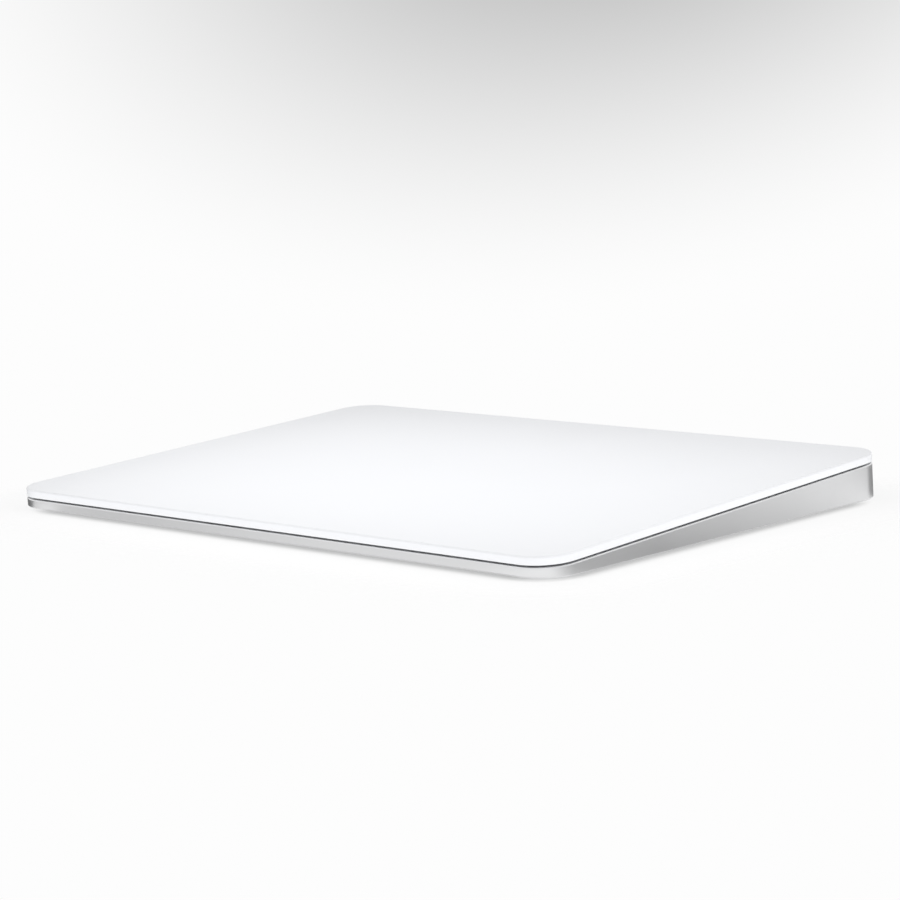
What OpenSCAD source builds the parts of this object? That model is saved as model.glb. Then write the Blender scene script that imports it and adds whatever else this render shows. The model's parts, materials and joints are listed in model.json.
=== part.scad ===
// Haptic desk trackpad: a glass touch plate floats over a wedge-shaped aluminium case.
// The origin is the centre of the footprint on the desk. X runs along the wide side,
// Y from the thin front edge to the thick rear edge, and Z up.
// Depth below the top of the glass, square to the glass, is called s.

/* [Overall size] */
// Width of the pad from side to side
pad_w = 160; // [150:0.5:180]
// Depth of the glass, along its slope
pad_d = 114.9; // [110:0.1:130]
// Height of the glass above the desk at its front edge
front_h = 4.9; // [4.7:0.1:6]
// Slope of the glass in degrees
tilt = 3; // [2.8:0.1:4]
// Radius of the four corners seen from above
corner_r = 7.8; // [7:0.1:10]

/* [Touch plate] */
// Thickness of the glass
glass_t = 1.1; // [0.9:0.05:1.2]
// Radius on the top edge of the glass
glass_edge = 0.4; // [0.2:0.05:0.6]
// Thickness of the white ring under the glass, and of the sensor board inside it
carrier_t = 0.7; // [0.6:0.05:0.8]
// Width of the white ring
carrier_w = 4; // [3.8:0.1:4.5]
// Shadow gap between the touch plate and the case
rim_gap = 0.45; // [0.35:0.05:0.6]
// Thickness of the stiffening plate
stiffener_t = 0.5; // [0.4:0.05:0.6]
// Margin of the stiffening plate inside the white ring, front and rear
stiffener_inset = 4; // [3:0.5:8]
// Gap left between the dust skirt and the flexures when the plate is fully pressed
skirt_low_gap = 0.05; // [0.02:0.01:0.15]
// Thickness of the grey foam dust skirt
skirt_t = 1; // [0.8:0.1:1.2]
// Gap left between the dust skirt and the case when the plate has moved fully to that side
skirt_gap = 0.7; // [0.4:0.1:0.9]

/* [Movement] */
// How far the touch plate goes down when pressed
press_travel = 0.25; // [0.1:0.01:0.3]
// How far the haptic drive moves the plate each way
shift_travel = 0.1; // [0.05:0.01:0.2]
// How far the power slider moves
switch_travel = 3; // [2:0.1:3.5]

/* [Suspension] */
// Distance of the flexures from the front and rear edges of the glass
flexure_inset = 19.5; // [18:0.5:22]
// Thickness of the soft pads
gel_t = 0.45; // [0.4:0.05:0.6]
// Size of the soft pads
gel_w = 6; // [4:0.5:7]
// Thickness of the spring-steel flexures
flexure_t = 0.35; // [0.25:0.05:0.4]
// Width of a flexure at its fixed end, and across its round tip
flexure_w = 8; // [7:0.5:8.5]
// Width of the bending neck of a flexure
neck_w = 4.5; // [3:0.5:6]
// Length of the bending neck of a flexure
neck_l = 11; // [9:0.5:13]

/* [Case] */
// Thickness of the outer wall
wall_t = 1.8; // [1.6:0.1:2]
// Chamfer on the rim under the shadow gap
rim_chamfer = 0.2; // [0.1:0.05:0.4]
// Chamfer on the lower edge
low_chamfer = 0.35; // [0.1:0.05:0.5]
// Width of the inner ledge above the bottom cover
ledge_w = 4; // [3:0.5:5]
// Thickness of the inner ledge
ledge_t = 0.6; // [0.5:0.05:0.7]
// Width of the lip around the bottom cover
lip_w = 1.2; // [1:0.1:1.5]
// Reach of the screw shelves from the side walls
shelf_l = 10.2; // [10:0.1:12]
// Width of the screw shelves
shelf_w = 9; // [8.8:0.1:10]
// Thickness of the shelves that carry the chassis
lug_t = 1.2; // [1.1:0.1:1.5]
// Distance between the chassis shelves on one side
lug_pitch = 40; // [34:1:44]

/* [Bottom cover and feet] */
// Height that the feet hold the case above the desk
foot_drop = 0.6; // [0.5:0.05:0.7]
// Diameter of a foot
foot_d = 12; // [8:0.5:14]
// Depth of the pocket that a foot is stuck in
foot_sink = 0.3; // [0.2:0.05:0.4]
// Distance of a foot's centre from the outer edges
foot_inset = 14; // [12:0.5:18]
// Radius on the lower edge of a foot
foot_edge = 0.25; // [0.1:0.05:0.4]
// Thickness of the bottom cover
cover_t = 0.7; // [0.6:0.05:0.8]
// Thickness of the adhesive that holds the bottom cover
adhesive_t = 0.1; // [0.05:0.01:0.15]

/* [Chassis] */
// Thickness of the steel chassis
chassis_t = 0.5; // [0.4:0.05:0.6]
// Width of the chassis tabs
tab_w = 8; // [6:0.5:8.5]
// Length of the chassis tabs on their shelves
tab_l = 6.5; // [5.5:0.5:8]
// Distance of the two rear hooks from the middle
hook_x = 25; // [15:1:30]
// Height of the posts that carry the boards
post_h = 1.1; // [1:0.1:1.4]
// Diameter of the posts that carry the boards
post_d = 3.2; // [2.8:0.1:3.6]

/* [Battery] */
// Depth of a battery cell, front to rear
cell_d = 29.5; // [20:0.5:31]
// Thickness of the adhesive tape under the battery
tape_t = 0.1; // [0.05:0.05:0.2]
// Lane left free beside a cell for the gauge wiring
lane_w = 3.4; // [3:0.1:5]
// Depth of the battery board
strip_d = 3.2; // [2.5:0.1:4]
// Height of a cell's sealed edge
seam_t = 0.6; // [0.3:0.1:0.8]
// Depth of a cell's sealed edge
seam_d = 2.5; // [1.5:0.5:4]
// Width of a cell's metal tab
tab_strip_w = 5; // [3:0.5:7]

/* [Haptic drive] */
// Width of the drive's base plate
drive_w = 47; // [44:0.5:50]
// Depth of the drive's base plate
drive_d = 18; // [17:0.5:19]
// Thickness of the drive's base plate
bracket_t = 0.4; // [0.3:0.05:0.6]
// Thickness of the armature's bar
bar_t = 0.8; // [0.6:0.1:1]
// Length of the armature's bar
bar_w = 42; // [40:0.5:43]
// Depth of the armature's bar
bar_d = 15; // [14:0.5:16]
// Width of the armature's tooth, along the movement
tooth_w = 5; // [4:0.5:6]
// Depth of the armature's tooth and of the cores
pole_d = 11; // [9:0.5:12]
// Gap left between the tooth and a core when the plate has moved fully to that side
air_gap = 0.5; // [0.3:0.05:0.7]
// Height of a core
core_h = 1; // [0.8:0.1:1.2]
// Length of a core
core_l = 17; // [15:0.5:17]
// Length of a coil along its core
coil_l = 11; // [8:0.5:12]
// Depth of a coil, front to rear
coil_d = 15; // [14:0.5:16]
// Thickness of the end blocks that hold the cores
end_block_l = 2.6; // [2:0.1:3]

/* [Boards] */
// Thickness of the circuit boards
board_t = 0.8; // [0.6:0.1:1]
// Width of the main board
board_w = 72; // [68:1:74]
// Depth of the main board
board_d = 15.5; // [14:0.5:16]
// Height of the shield can
shield_h = 1.3; // [1:0.1:1.6]
// Width of the shield can
shield_w = 18; // [14:0.5:18]
// Thickness of the flexible circuits
film_t = 0.1; // [0.05:0.01:0.15]
// Height of the connectors on the boards
plug_h = 1; // [0.8:0.1:1]
// Height of the port and the power slider above the boards
io_rise = 0.9; // [0.8:0.1:1.2]

/* [Charging port] */
// Outer width of the port's metal shell
port_w = 8.94; // [8.8:0.01:9.1]
// Outer height of the port's metal shell
port_h = 3.26; // [3.1:0.01:3.3]
// Thickness of the port's metal shell
port_wall = 0.35; // [0.25:0.05:0.4]
// Length of the port's metal shell
port_l = 7.4; // [7:0.1:7.8]
// Depth of the port's mouth behind the rear wall's outer face
port_recess = 0.5; // [0.3:0.05:0.8]
// Number of contacts on each side of the port's tongue
contact_count = 12; // [6:1:12]

/* [Power switch] */
// Distance of the power slider from the end of the main board
switch_x = 12; // [11:0.5:14]
// Width of the slider's knob
knob_w = 6; // [5:0.5:7]
// Height of the slider's knob
knob_h = 2.4; // [2:0.1:2.6]
// Thickness of the plate behind the knob
slider_t = 0.9; // [0.7:0.1:1]
// Depth of the flat pocket inside the rear wall for the slider
pocket_t = 0.5; // [0.3:0.1:0.6]
// Thickness of the guide behind the slider
guide_t = 0.8; // [0.6:0.1:1]

/* [Fits and screws] */
// Gap between pieces that are assembled side by side
fit = 0.1; // [0.05:0.01:0.15]
// Gap that stays free below the touch plate when it is pressed
run_gap = 0.2; // [0.1:0.05:0.25]
// Diameter of the small screws
screw_d = 1.2; // [1:0.1:1.4]
// Diameter of the screw heads
head_d = 2.2; // [2:0.1:2.4]
// Height of the screw heads
head_h = 0.45; // [0.3:0.05:0.45]

/* [Hidden] */
$fn = 64;

// The slope, and where its centre lies so that the footprint is centred
rear_h = front_h + pad_d * sin(tilt);
centre_h = front_h + pad_d / 2 * sin(tilt);
slope_y = -(rear_h - foot_drop) * tan(tilt) / 2;
room = 2 * pad_w;

// Depths below the top of the glass
plate_s = glass_t + carrier_t;
rim_s = plate_s + rim_gap;
stiffener_s = plate_s + stiffener_t;
flexure_top_s = stiffener_s + gel_t;
flexure_low_s = flexure_top_s + flexure_t;
bar_s = stiffener_s + bar_t;
deep_s = 2 * rear_h;

// Heights above the desk
cover_top = foot_drop + cover_t;
ledge_z0 = cover_top + adhesive_t;
ledge_z1 = ledge_z0 + ledge_t;
lug_z1 = ledge_z0 + lug_t;
floor_z = ledge_z0 + chassis_t;
board_z0 = floor_z + post_h;
board_z1 = board_z0 + board_t;
io_z = board_z1 + io_rise;
bracket_z1 = floor_z + bracket_t;
strip_z0 = floor_z + tape_t;
strip_z1 = strip_z0 + board_t;

// A height on a plane at depth s, the depth of a point, and the slope's own front-to-rear coordinate
function plate_z(y, s) = centre_h + (y - slope_y) * tan(tilt) - s / cos(tilt);
function depth_at(y, z) = (centre_h + (y - slope_y) * tan(tilt) - z) * cos(tilt);
function slope_v(y, s) = (y - slope_y - s * sin(tilt)) / cos(tilt);
function slope_y_at(v, s) = slope_y + v * cos(tilt) + s * sin(tilt);

// The outer faces of the front and rear walls at height z
function front_y(z) = slope_y - pad_d / 2 * cos(tilt) + (front_h - z) * tan(tilt);
function rear_y(z) = slope_y + pad_d / 2 * cos(tilt) + (rear_h - z) * tan(tilt);

// The inside of the case
wall_y = wall_t / cos(tilt);
side_x = pad_w / 2 - wall_t;
shelf_x = side_x - shelf_l;
cavity_w = pad_w - 2 * wall_t;
cavity_d = pad_d - 2 * wall_t;
cavity_r = corner_r - wall_t;
open_x = side_x - ledge_w;
open_y0 = front_y(ledge_z1) + wall_y + ledge_w;
open_y1 = rear_y(ledge_z1) - wall_y - ledge_w;
open_r = max(cavity_r - ledge_w, ledge_w / 4);
shelf_grip = wall_t / 2;
flexure_v = pad_d / 2 - flexure_inset;
flexure_tip_x = shelf_x - neck_l;
flexure_end = 1;
shelf_screw_in = 4.6;
shelf_screw_x = shelf_x + shelf_screw_in;
thread_l = 1.1;
flexure_screw_l = flexure_t + thread_l;
chassis_screw_l = chassis_t + lug_t - run_gap;
screw_gap = 0.05;
hole_d = screw_d + 2 * screw_gap;
plate_r = 1;

// The strain gauges under the flexures' necks
gauge_in = 2.6;
gauge_x = shelf_x - gauge_in;
gauge_l = 3;
gauge_w = 2.4;
gauge_s = flexure_low_s + film_t;

// The chassis
pan_x = shelf_x - 4 * fit;
pan_gap = 2;
pan_y0 = slope_y_at(-flexure_v + shelf_w / 2, flexure_low_s) + pan_gap;
pan_y1 = open_y1 - 3 * fit;
pan_r = 2;
hook_w = 8;
hook_l = 2.6;
lug_y = lug_pitch / 2;

// The boards
rear_in = rear_y(io_z) - wall_y;
board_gap = 1.8;
board_y1 = rear_in - board_gap;
board_y0 = board_y1 - board_d;
post_y = pan_y1 - post_d / 2 - fit;
side_post_in = 2.6;
side_post_x = board_w / 2 - side_post_in;
side_post_rise = 6.6;
side_post_y = board_y0 + side_post_rise;
port_post_gap = 4.6;
port_post_x = port_w / 2 + port_post_gap;
plug_d = 2.4;
plug_in = 0.4;
plug_y = board_y0 + plug_in;
touch_plug_x = 12;
touch_plug_w = 13;
battery_plug_x = 27;
plug_w = 6;
under_plug_h = board_z0 - floor_z - film_t;
shield_gap = 1;
shield_x0 = -port_post_x - head_d - shield_gap - shield_w;
shield_in = 3.2;
shield_y0 = board_y0 + shield_in;
shield_d = 7;
shield_t = 0.2;

// The chips on the main board: distance from the can's or the board's end, width, depth and height
can_chips = [[5, 5, 5, 0.8], [12, 4, 4, 0.7]];
charger_chips = [[20, 4, 4, 0.8], [15, 3, 3, 1.2], [11.5, 1.6, 0.8, 0.8], [9, 1.6, 0.8, 0.8]];

// The battery
strip_gap = 0.9;
strip_y1 = board_y0 - strip_gap;
strip_y0 = strip_y1 - strip_d;
cell_y1 = strip_y0 - 4 * fit;
cell_y0 = cell_y1 - cell_d;
cell_gap = 1.5;
cell_x0 = drive_w / 2 + cell_gap;
cell_x1 = pan_x - lane_w;
cell_r = 1.5;
cell_z0 = floor_z + tape_t;
cell_z1 = plate_z(cell_y0, stiffener_s) - press_travel - run_gap;
strip_in = 4;
strip_x = cell_x1 - strip_in;
cell_tab_in = 8;
cell_tab_x = [cell_x0 + cell_tab_in, cell_x1 - cell_tab_in];
antenna_x = (cell_x0 + drive_w / 2) / 2;

// The haptic drive, in the middle between the cells
drive_y = (cell_y0 + cell_y1) / 2;
core_x0 = tooth_w / 2 + shift_travel + air_gap;
core_x1 = core_x0 + core_l;
coil_x0 = core_x0 + (core_l - coil_l) / 2;
coil_z1 = plate_z(drive_y - coil_d / 2, bar_s) - press_travel - run_gap;
core_z = (bracket_z1 + coil_z1) / 2;
coil_r = min(plate_r, (coil_z1 - bracket_z1) / 2 - fit);
bar_v = slope_v(drive_y, bar_s);
tooth_s = depth_at(drive_y - pole_d / 2, bracket_z1 + press_travel + run_gap);
corner_screw_in = 1.7;
bar_screw_x = bar_w / 2 - corner_screw_in;
bar_screw_v = bar_d / 2 - corner_screw_in;
drive_screw_x = drive_w / 2 - corner_screw_in;
drive_screw_y = drive_d / 2 - corner_screw_in;

// The touch plate's window pieces
sensor_w = pad_w - 2 * (carrier_w + fit);
sensor_d = pad_d - 2 * (carrier_w + fit);
inner_r = max(corner_r - carrier_w, plate_r);
window_gap = 1;
stiffener_x = shelf_x - window_gap;
stiffener_d = pad_d - 2 * (carrier_w + stiffener_inset);
socket_h = 1.2;
socket_d = 4;
socket_y = board_y0 - socket_d / 2;
socket_v = slope_v(socket_y, plate_s);
chip_v = -12;
chip_list = [[-24, 0, 9, 9, 0.9], [-14, 2, 6, 5, 0.8], [-6, -1, 4, 4, 0.7], [1, 1, 3, 5, 0.7]];
chip_window_x = -12;
chip_window_w = 36;
chip_window_d = 12;

// The port and the power switch
slot_x = board_w / 2 + switch_x;
mouth_y = rear_y(io_z) - port_recess;
port_y0 = mouth_y - port_l;
seal_t = 0.4;
saddle_t = 0.4;
saddle_w = 2.8;
leg_w = 1.4;
leg_in = 0.4;
leg_l = 1.8;
tongue_t = 0.7;
tongue_w = 6.7;
tongue_root = 1.4;
tongue_recess = 1;
tongue_y1 = mouth_y - tongue_recess;
contact_t = 0.06;
contact_l = 3;
contact_in = 0.5;
slot_w = knob_w + switch_travel + 2 * fit;
slot_h = knob_h + 2 * fit;
slider_lip = 0.6;
slider_lap = 0.4;
slider_h = knob_h + 2 * slider_lip;
slider_w = slot_w + switch_travel + 2 * slider_lap;
slider_x = slot_x - switch_travel / 2;
pocket_y = rear_y(io_z) - wall_y + pocket_t;
slider_y1 = pocket_y - fit;
slider_y0 = slider_y1 - slider_t;
guide_y1 = slider_y0 - fit;
guide_y0 = guide_y1 - guide_t;
guide_gap = 1.5 * fit;
rail_t = 0.4;
guide_post_w = 2.2;
guide_in_x = (slider_w + switch_travel) / 2 + 2 * fit;
guide_out_x = guide_in_x + guide_post_w;
guide_h = slider_h + 2 * (guide_gap + rail_t);
fork_l = 1.6;
tine_w = 0.6;
lever_w = 1;
lever_gap = 1.5 * fit;
fork_w = lever_w + 2 * (lever_gap + tine_w);
fork_h = 1.6;
switch_face_y = slider_y0 - fork_l - 2 * fit;
switch_w = 9;
switch_d = 2.6;
switch_board_w = 17;
switch_post_x = switch_board_w / 2 - corner_screw_in;
switch_board_y1 = guide_y0 - head_h - 2 * fit;
switch_board_y0 = post_y - post_d / 2 - 2 * fit;
lever_in = 1;
lever_h = 1;
lever_y0 = switch_face_y - lever_in;
lever_y1 = slider_y0 - fork_l / 3;
flag_w = switch_travel - 2 * fit;
flag_t = slider_t / 3;
flag_x = -(knob_w + switch_travel) / 2;
guide_screw_x = guide_in_x + guide_post_w / 2;
guide_screw_l = pocket_y - guide_y0 + (wall_t - pocket_t) / 2;

// Turns its children, drawn flat on the glass, to the slope of the pad
module slope() {
    translate([0, slope_y, centre_h]) rotate([tilt, 0, 0]) children();
}

// A flat outline between two depths below the top of the glass
module layer(s0, s1) {
    slope() translate([0, 0, -s1]) linear_extrude(s1 - s0) children();
}

// A flat outline between two heights above the desk
module sheet(z0, z1) {
    translate([0, 0, z0]) linear_extrude(z1 - z0) children();
}

// An outline seen from behind, run from y0 to y1 about a point of the rear wall
module through_rear(x, z, y0, y1) {
    translate([x, y1, z]) rotate([90, 0, 0]) linear_extrude(y1 - y0) children();
}

module block(low, high) {
    translate(low) cube(high - low);
}

module above(z) {
    intersection() {
        children();
        translate([-room, -room, z]) cube(2 * room);
    }
}

module rounded(w, d, r) {
    square([w - 2 * r, d], center = true);
    square([w, d - 2 * r], center = true);
    for (sx = [-1, 1], sy = [-1, 1])
        translate([sx * (w / 2 - r), sy * (d / 2 - r)]) circle(r);
}

module rounded_box(x0, y0, x1, y1, r) {
    translate([(x0 + x1) / 2, (y0 + y1) / 2]) rounded(x1 - x0, y1 - y0, r);
}

module stadium(w, h) {
    square([w - h, h], center = true);
    for (sx = [-1, 1]) translate([sx * (w - h) / 2, 0]) circle(d = h);
}

module on_side(side) {
    mirror([side < 0 ? 1 : 0, 0, 0]) children();
}

// A low screw with its head above the origin and its shank below
module screw(length) {
    slot_t = head_d / 5;
    difference() {
        cylinder(d = head_d, h = head_h);
        for (turn = [0, 90])
            rotate(turn) translate([-head_d / 3, -slot_t / 2, head_h / 2])
                cube([head_d * 2 / 3, slot_t, head_h]);
    }
    translate([0, 0, -length]) cylinder(d = screw_d, h = length);
}

module screw_hole(depth) {
    translate([0, 0, -depth]) cylinder(d = hole_d, h = depth + head_h);
}

// A slab with rounded corners below z = 0, whose edge has the section drawn by the children.
// The section starts at x = 0, one corner radius inside the outline of w by d.
module edged_slab(w, d, t) {
    inner_w = w - 2 * corner_r;
    inner_d = d - 2 * corner_r;
    translate([-inner_w / 2, -inner_d / 2, -t]) cube([inner_w, inner_d, t]);
    for (turn = [0, 180]) rotate(turn) {
        translate([inner_w / 2, inner_d / 2, 0]) rotate([90, 0, 0]) linear_extrude(inner_d) children();
        translate([inner_w / 2, inner_d / 2, 0]) rotate_extrude(angle = 90) children();
        translate([-inner_w / 2, inner_d / 2, 0]) {
            rotate([90, 0, 90]) linear_extrude(inner_w) children();
            rotate(90) rotate_extrude(angle = 90) children();
        }
    }
}

module touch_glass() {
    color("#f7f8f9") slope() edged_slab(pad_w, pad_d, glass_t) {
        union() {
            translate([0, -glass_t]) square([corner_r - glass_edge, glass_t]);
            translate([0, -glass_t]) square([corner_r, glass_t - glass_edge]);
            translate([corner_r - glass_edge, -glass_edge]) circle(glass_edge);
        }
    }
}

module glass_carrier() {
    color("#f4f5f6") layer(glass_t, plate_s) difference() {
        rounded(pad_w, pad_d, corner_r);
        rounded(pad_w - 2 * carrier_w, pad_d - 2 * carrier_w, inner_r);
    }
}

module sensor_board() {
    color("#2f6b46") layer(glass_t, plate_s) rounded(sensor_w, sensor_d, inner_r - fit);
}

module stiffener_plate() {
    color("#b9bcc0") layer(plate_s, stiffener_s) difference() {
        rounded(2 * stiffener_x, stiffener_d, inner_r);
        translate([chip_window_x, chip_v]) rounded(chip_window_w, chip_window_d, window_gap);
        translate([touch_plug_x, socket_v])
            rounded(touch_plug_w + 2 * window_gap, socket_d + 2 * window_gap, window_gap);
        for (sx = [-1, 1], sv = [-1, 1])
            translate([sx * bar_screw_x, bar_v + sv * bar_screw_v]) circle(d = hole_d);
    }
}

module dust_skirt() {
    inset = skirt_gap + shift_travel;
    outer_w = cavity_w - 2 * inset;
    outer_d = cavity_d - 2 * inset;
    outer_r = cavity_r - inset;
    color("#88898b") layer(plate_s, flexure_top_s - press_travel - skirt_low_gap) difference() {
        rounded(outer_w, outer_d, outer_r);
        rounded(outer_w - 2 * skirt_t, outer_d - 2 * skirt_t, outer_r - skirt_t);
    }
}

module touch_controller() {
    color("#26282b") for (chip = chip_list)
        layer(plate_s, plate_s + chip[4])
            translate([chip[0], chip_v + chip[1]]) square([chip[2], chip[3]], center = true);
}

module touch_plug() {
    color("#ece7d8") layer(plate_s, plate_s + socket_h)
        translate([touch_plug_x, socket_v]) square([touch_plug_w, socket_d], center = true);
}

module haptic_armature() {
    color("#8f949a") {
        layer(stiffener_s, bar_s) difference() {
            translate([0, bar_v]) rounded(bar_w, bar_d, plate_r);
            for (sx = [-1, 1], sv = [-1, 1])
                translate([sx * bar_screw_x, bar_v + sv * bar_screw_v]) circle(d = hole_d);
        }
        layer(bar_s, tooth_s) translate([0, bar_v]) square([tooth_w, pole_d], center = true);
    }
}

module armature_screws() {
    color("#c8ccd0") slope() for (sx = [-1, 1], sv = [-1, 1])
        translate([sx * bar_screw_x, bar_v + sv * bar_screw_v, -bar_s])
            rotate([180, 0, 0]) screw(bar_t + stiffener_t - fit);
}

module gel_pads() {
    color("#d9dde2") layer(stiffener_s, flexure_top_s) for (sx = [-1, 1], sv = [-1, 1])
        translate([sx * flexure_tip_x, sv * flexure_v]) rounded(gel_w, gel_w, gel_w / 4);
}

// The solid wedge: its sides stand square to the glass, and its flat base lies above the desk
module case_wedge() {
    base_y0 = front_y(foot_drop);
    base_y1 = rear_y(foot_drop);
    flare = corner_r + rear_h - low_chamfer;
    intersection() {
        slope() translate([0, 0, -rim_s]) edged_slab(pad_w, pad_d, deep_s)
            polygon([[0, 0], [corner_r - rim_chamfer, 0], [corner_r, -rim_chamfer], [corner_r, -deep_s],
                [0, -deep_s]]);
        translate([0, (base_y0 + base_y1) / 2, foot_drop + rear_h])
            edged_slab(pad_w, base_y1 - base_y0, rear_h)
                polygon([[0, 0], [flare, 0], [corner_r - low_chamfer, -rear_h], [0, -rear_h]]);
    }
}

// The wall, the ledge and the lip, before the shelves are added
module case_ring() {
    difference() {
        case_wedge();
        above(ledge_z1) layer(0, 2 * deep_s) rounded(cavity_w, cavity_d, cavity_r);
        sheet(ledge_z0 - fit, ledge_z1 + fit) rounded_box(-open_x, open_y0, open_x, open_y1, open_r);
        sheet(0, ledge_z0) cover_outline(0);
    }
}

module cover_outline(gap) {
    rounded_box(-pad_w / 2 + lip_w + gap, front_y(foot_drop) + lip_w + gap,
        pad_w / 2 - lip_w - gap, rear_y(foot_drop) - lip_w - gap, corner_r - lip_w - gap);
}

module flexure_shelf(side, row) {
    shelf_v = row * flexure_v;
    difference() {
        above(ledge_z0) layer(flexure_low_s, deep_s)
            translate([side * (shelf_x + (shelf_l + shelf_grip) / 2), shelf_v])
                square([shelf_l + shelf_grip, shelf_w], center = true);
        slope() translate([side * shelf_screw_x, shelf_v, -flexure_top_s]) screw_hole(flexure_screw_l + fit);
    }
}

module chassis_shelf(side, row) {
    difference() {
        sheet(ledge_z0, lug_z1)
            translate([side * (shelf_x + (shelf_l + shelf_grip) / 2), row * lug_y])
                square([shelf_l + shelf_grip, shelf_w], center = true);
        translate([side * shelf_screw_x, row * lug_y, lug_z1 + chassis_t]) screw_hole(chassis_screw_l + fit);
    }
}

module case() {
    color("#c3c5c8") difference() {
        union() {
            case_ring();
            for (side = [-1, 1], row = [-1, 1]) {
                flexure_shelf(side, row);
                chassis_shelf(side, row);
            }
        }
        through_rear(0, io_z, rear_in - wall_t, rear_in + 2 * wall_t)
            stadium(port_w + 2 * fit, port_h + 2 * fit);
        through_rear(slot_x, io_z, pocket_y - fit, rear_in + 2 * wall_t) stadium(slot_w, slot_h);
        through_rear(slot_x, io_z, guide_y0, pocket_y)
            square([2 * (guide_out_x + fit), guide_h + 2 * fit], center = true);
        for (side = [-1, 1])
            translate([slot_x + side * guide_screw_x, guide_y0, io_z])
                rotate([90, 0, 0]) screw_hole(guide_screw_l + fit);
    }
}

module foot_pocket_at(side, row) {
    translate([side * (pad_w / 2 - foot_inset),
        row > 0 ? rear_y(foot_drop) - foot_inset : front_y(foot_drop) + foot_inset]) children();
}

module bottom_cover() {
    color("#eceded") difference() {
        sheet(foot_drop, cover_top) cover_outline(fit);
        for (side = [-1, 1], row = [-1, 1])
            sheet(0, foot_drop + foot_sink) foot_pocket_at(side, row) circle(d = foot_d + 2 * fit);
    }
}

module cover_adhesive() {
    color("#3a3b3d") sheet(cover_top, ledge_z0) difference() {
        cover_outline(3 * fit);
        rounded_box(-open_x - fit, open_y0 - fit, open_x + fit, open_y1 + fit, open_r);
    }
}

module foot(side, row) {
    foot_h = foot_drop + foot_sink;
    color("#d6d7d8") foot_pocket_at(side, row) rotate_extrude() {
        square([foot_d / 2 - foot_edge, foot_h]);
        translate([0, foot_edge]) square([foot_d / 2, foot_h - foot_edge]);
        translate([foot_d / 2 - foot_edge, foot_edge]) circle(foot_edge);
    }
}

module flexure(side, row) {
    color("#a9aeb4") on_side(side) layer(flexure_top_s, flexure_low_s) translate([0, row * flexure_v])
        difference() {
            union() {
                translate([flexure_tip_x, 0]) circle(d = flexure_w);
                translate([flexure_tip_x, -neck_w / 2]) square([neck_l + flexure_end, neck_w]);
                translate([shelf_x + fit, -flexure_w / 2]) square([shelf_l - flexure_end, flexure_w]);
            }
            translate([shelf_screw_x, 0]) circle(d = hole_d);
        }
}

module flexure_screws() {
    color("#c8ccd0") slope() for (side = [-1, 1], row = [-1, 1])
        translate([side * shelf_screw_x, row * flexure_v, -flexure_top_s]) screw(flexure_screw_l);
}

module strain_gauges() {
    color("#c79a3b") layer(flexure_low_s, gauge_s) for (side = [-1, 1], row = [-1, 1])
        translate([side * gauge_x, row * flexure_v]) square([gauge_l, gauge_w], center = true);
}

// A ribbon on the chassis beside each cell, with a riser to each gauge, that ends under the main board
module gauge_flex() {
    ribbon_w = 1.6;
    ribbon_z1 = floor_z + film_t;
    ribbon_x = gauge_x;
    front_end = slope_y_at(-flexure_v, gauge_s);
    rear_end = slope_y_at(flexure_v, gauge_s);
    turn_y = board_y0 + 1;
    color("#b9772f") for (side = [-1, 1]) on_side(side) {
        sheet(floor_z, ribbon_z1) {
            translate([ribbon_x - ribbon_w / 2, front_end - film_t])
                square([ribbon_w, turn_y + ribbon_w - front_end + film_t]);
            translate([side_post_x - plug_w / 2, turn_y])
                square([ribbon_x + ribbon_w / 2 - side_post_x + plug_w / 2, ribbon_w]);
        }
        for (y = [front_end, rear_end])
            block([ribbon_x - ribbon_w / 2, y - film_t, floor_z],
                [ribbon_x + ribbon_w / 2, y, plate_z(y, gauge_s) - fit]);
    }
}

module chassis() {
    tab_x1 = shelf_x + tab_l;
    color("#9fa4a9") difference() {
        union() {
            sheet(ledge_z0, floor_z) rounded_box(-pan_x, pan_y0, pan_x, pan_y1, pan_r);
            for (side = [-1, 1], row = [-1, 1]) on_side(side) translate([0, row * lug_y, 0]) {
                block([pan_x - chassis_t, -tab_w / 2, ledge_z0], [pan_x, tab_w / 2, lug_z1 + chassis_t]);
                block([pan_x - chassis_t, -tab_w / 2, lug_z1], [tab_x1, tab_w / 2, lug_z1 + chassis_t]);
            }
            for (side = [-1, 1]) translate([side * hook_x - hook_w / 2, 0, 0]) {
                block([0, pan_y1 - chassis_t, ledge_z0], [hook_w, pan_y1, ledge_z1 + chassis_t]);
                block([0, pan_y1 - chassis_t, ledge_z1], [hook_w, pan_y1 + hook_l, ledge_z1 + chassis_t]);
            }
            sheet(floor_z, board_z0) board_posts() circle(d = post_d);
        }
        for (side = [-1, 1], row = [-1, 1]) {
            translate([side * shelf_screw_x, row * lug_y, lug_z1 + chassis_t]) screw_hole(chassis_screw_l);
            translate([side * drive_screw_x, drive_y + row * drive_screw_y, floor_z])
                screw_hole(2 * chassis_t);
        }
        sheet(ledge_z0 - fit, board_z0 + fit) board_posts() circle(d = hole_d);
    }
}

// The places of the posts under the main board and the switch board
module board_posts() {
    for (side = [-1, 1]) {
        translate([side * side_post_x, side_post_y]) children();
        translate([side * port_post_x, post_y]) children();
        translate([slot_x + side * switch_post_x, post_y]) children();
    }
}

module chassis_screws() {
    color("#c8ccd0") for (side = [-1, 1], row = [-1, 1])
        translate([side * shelf_screw_x, row * lug_y, lug_z1 + chassis_t]) screw(chassis_screw_l);
}

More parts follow.
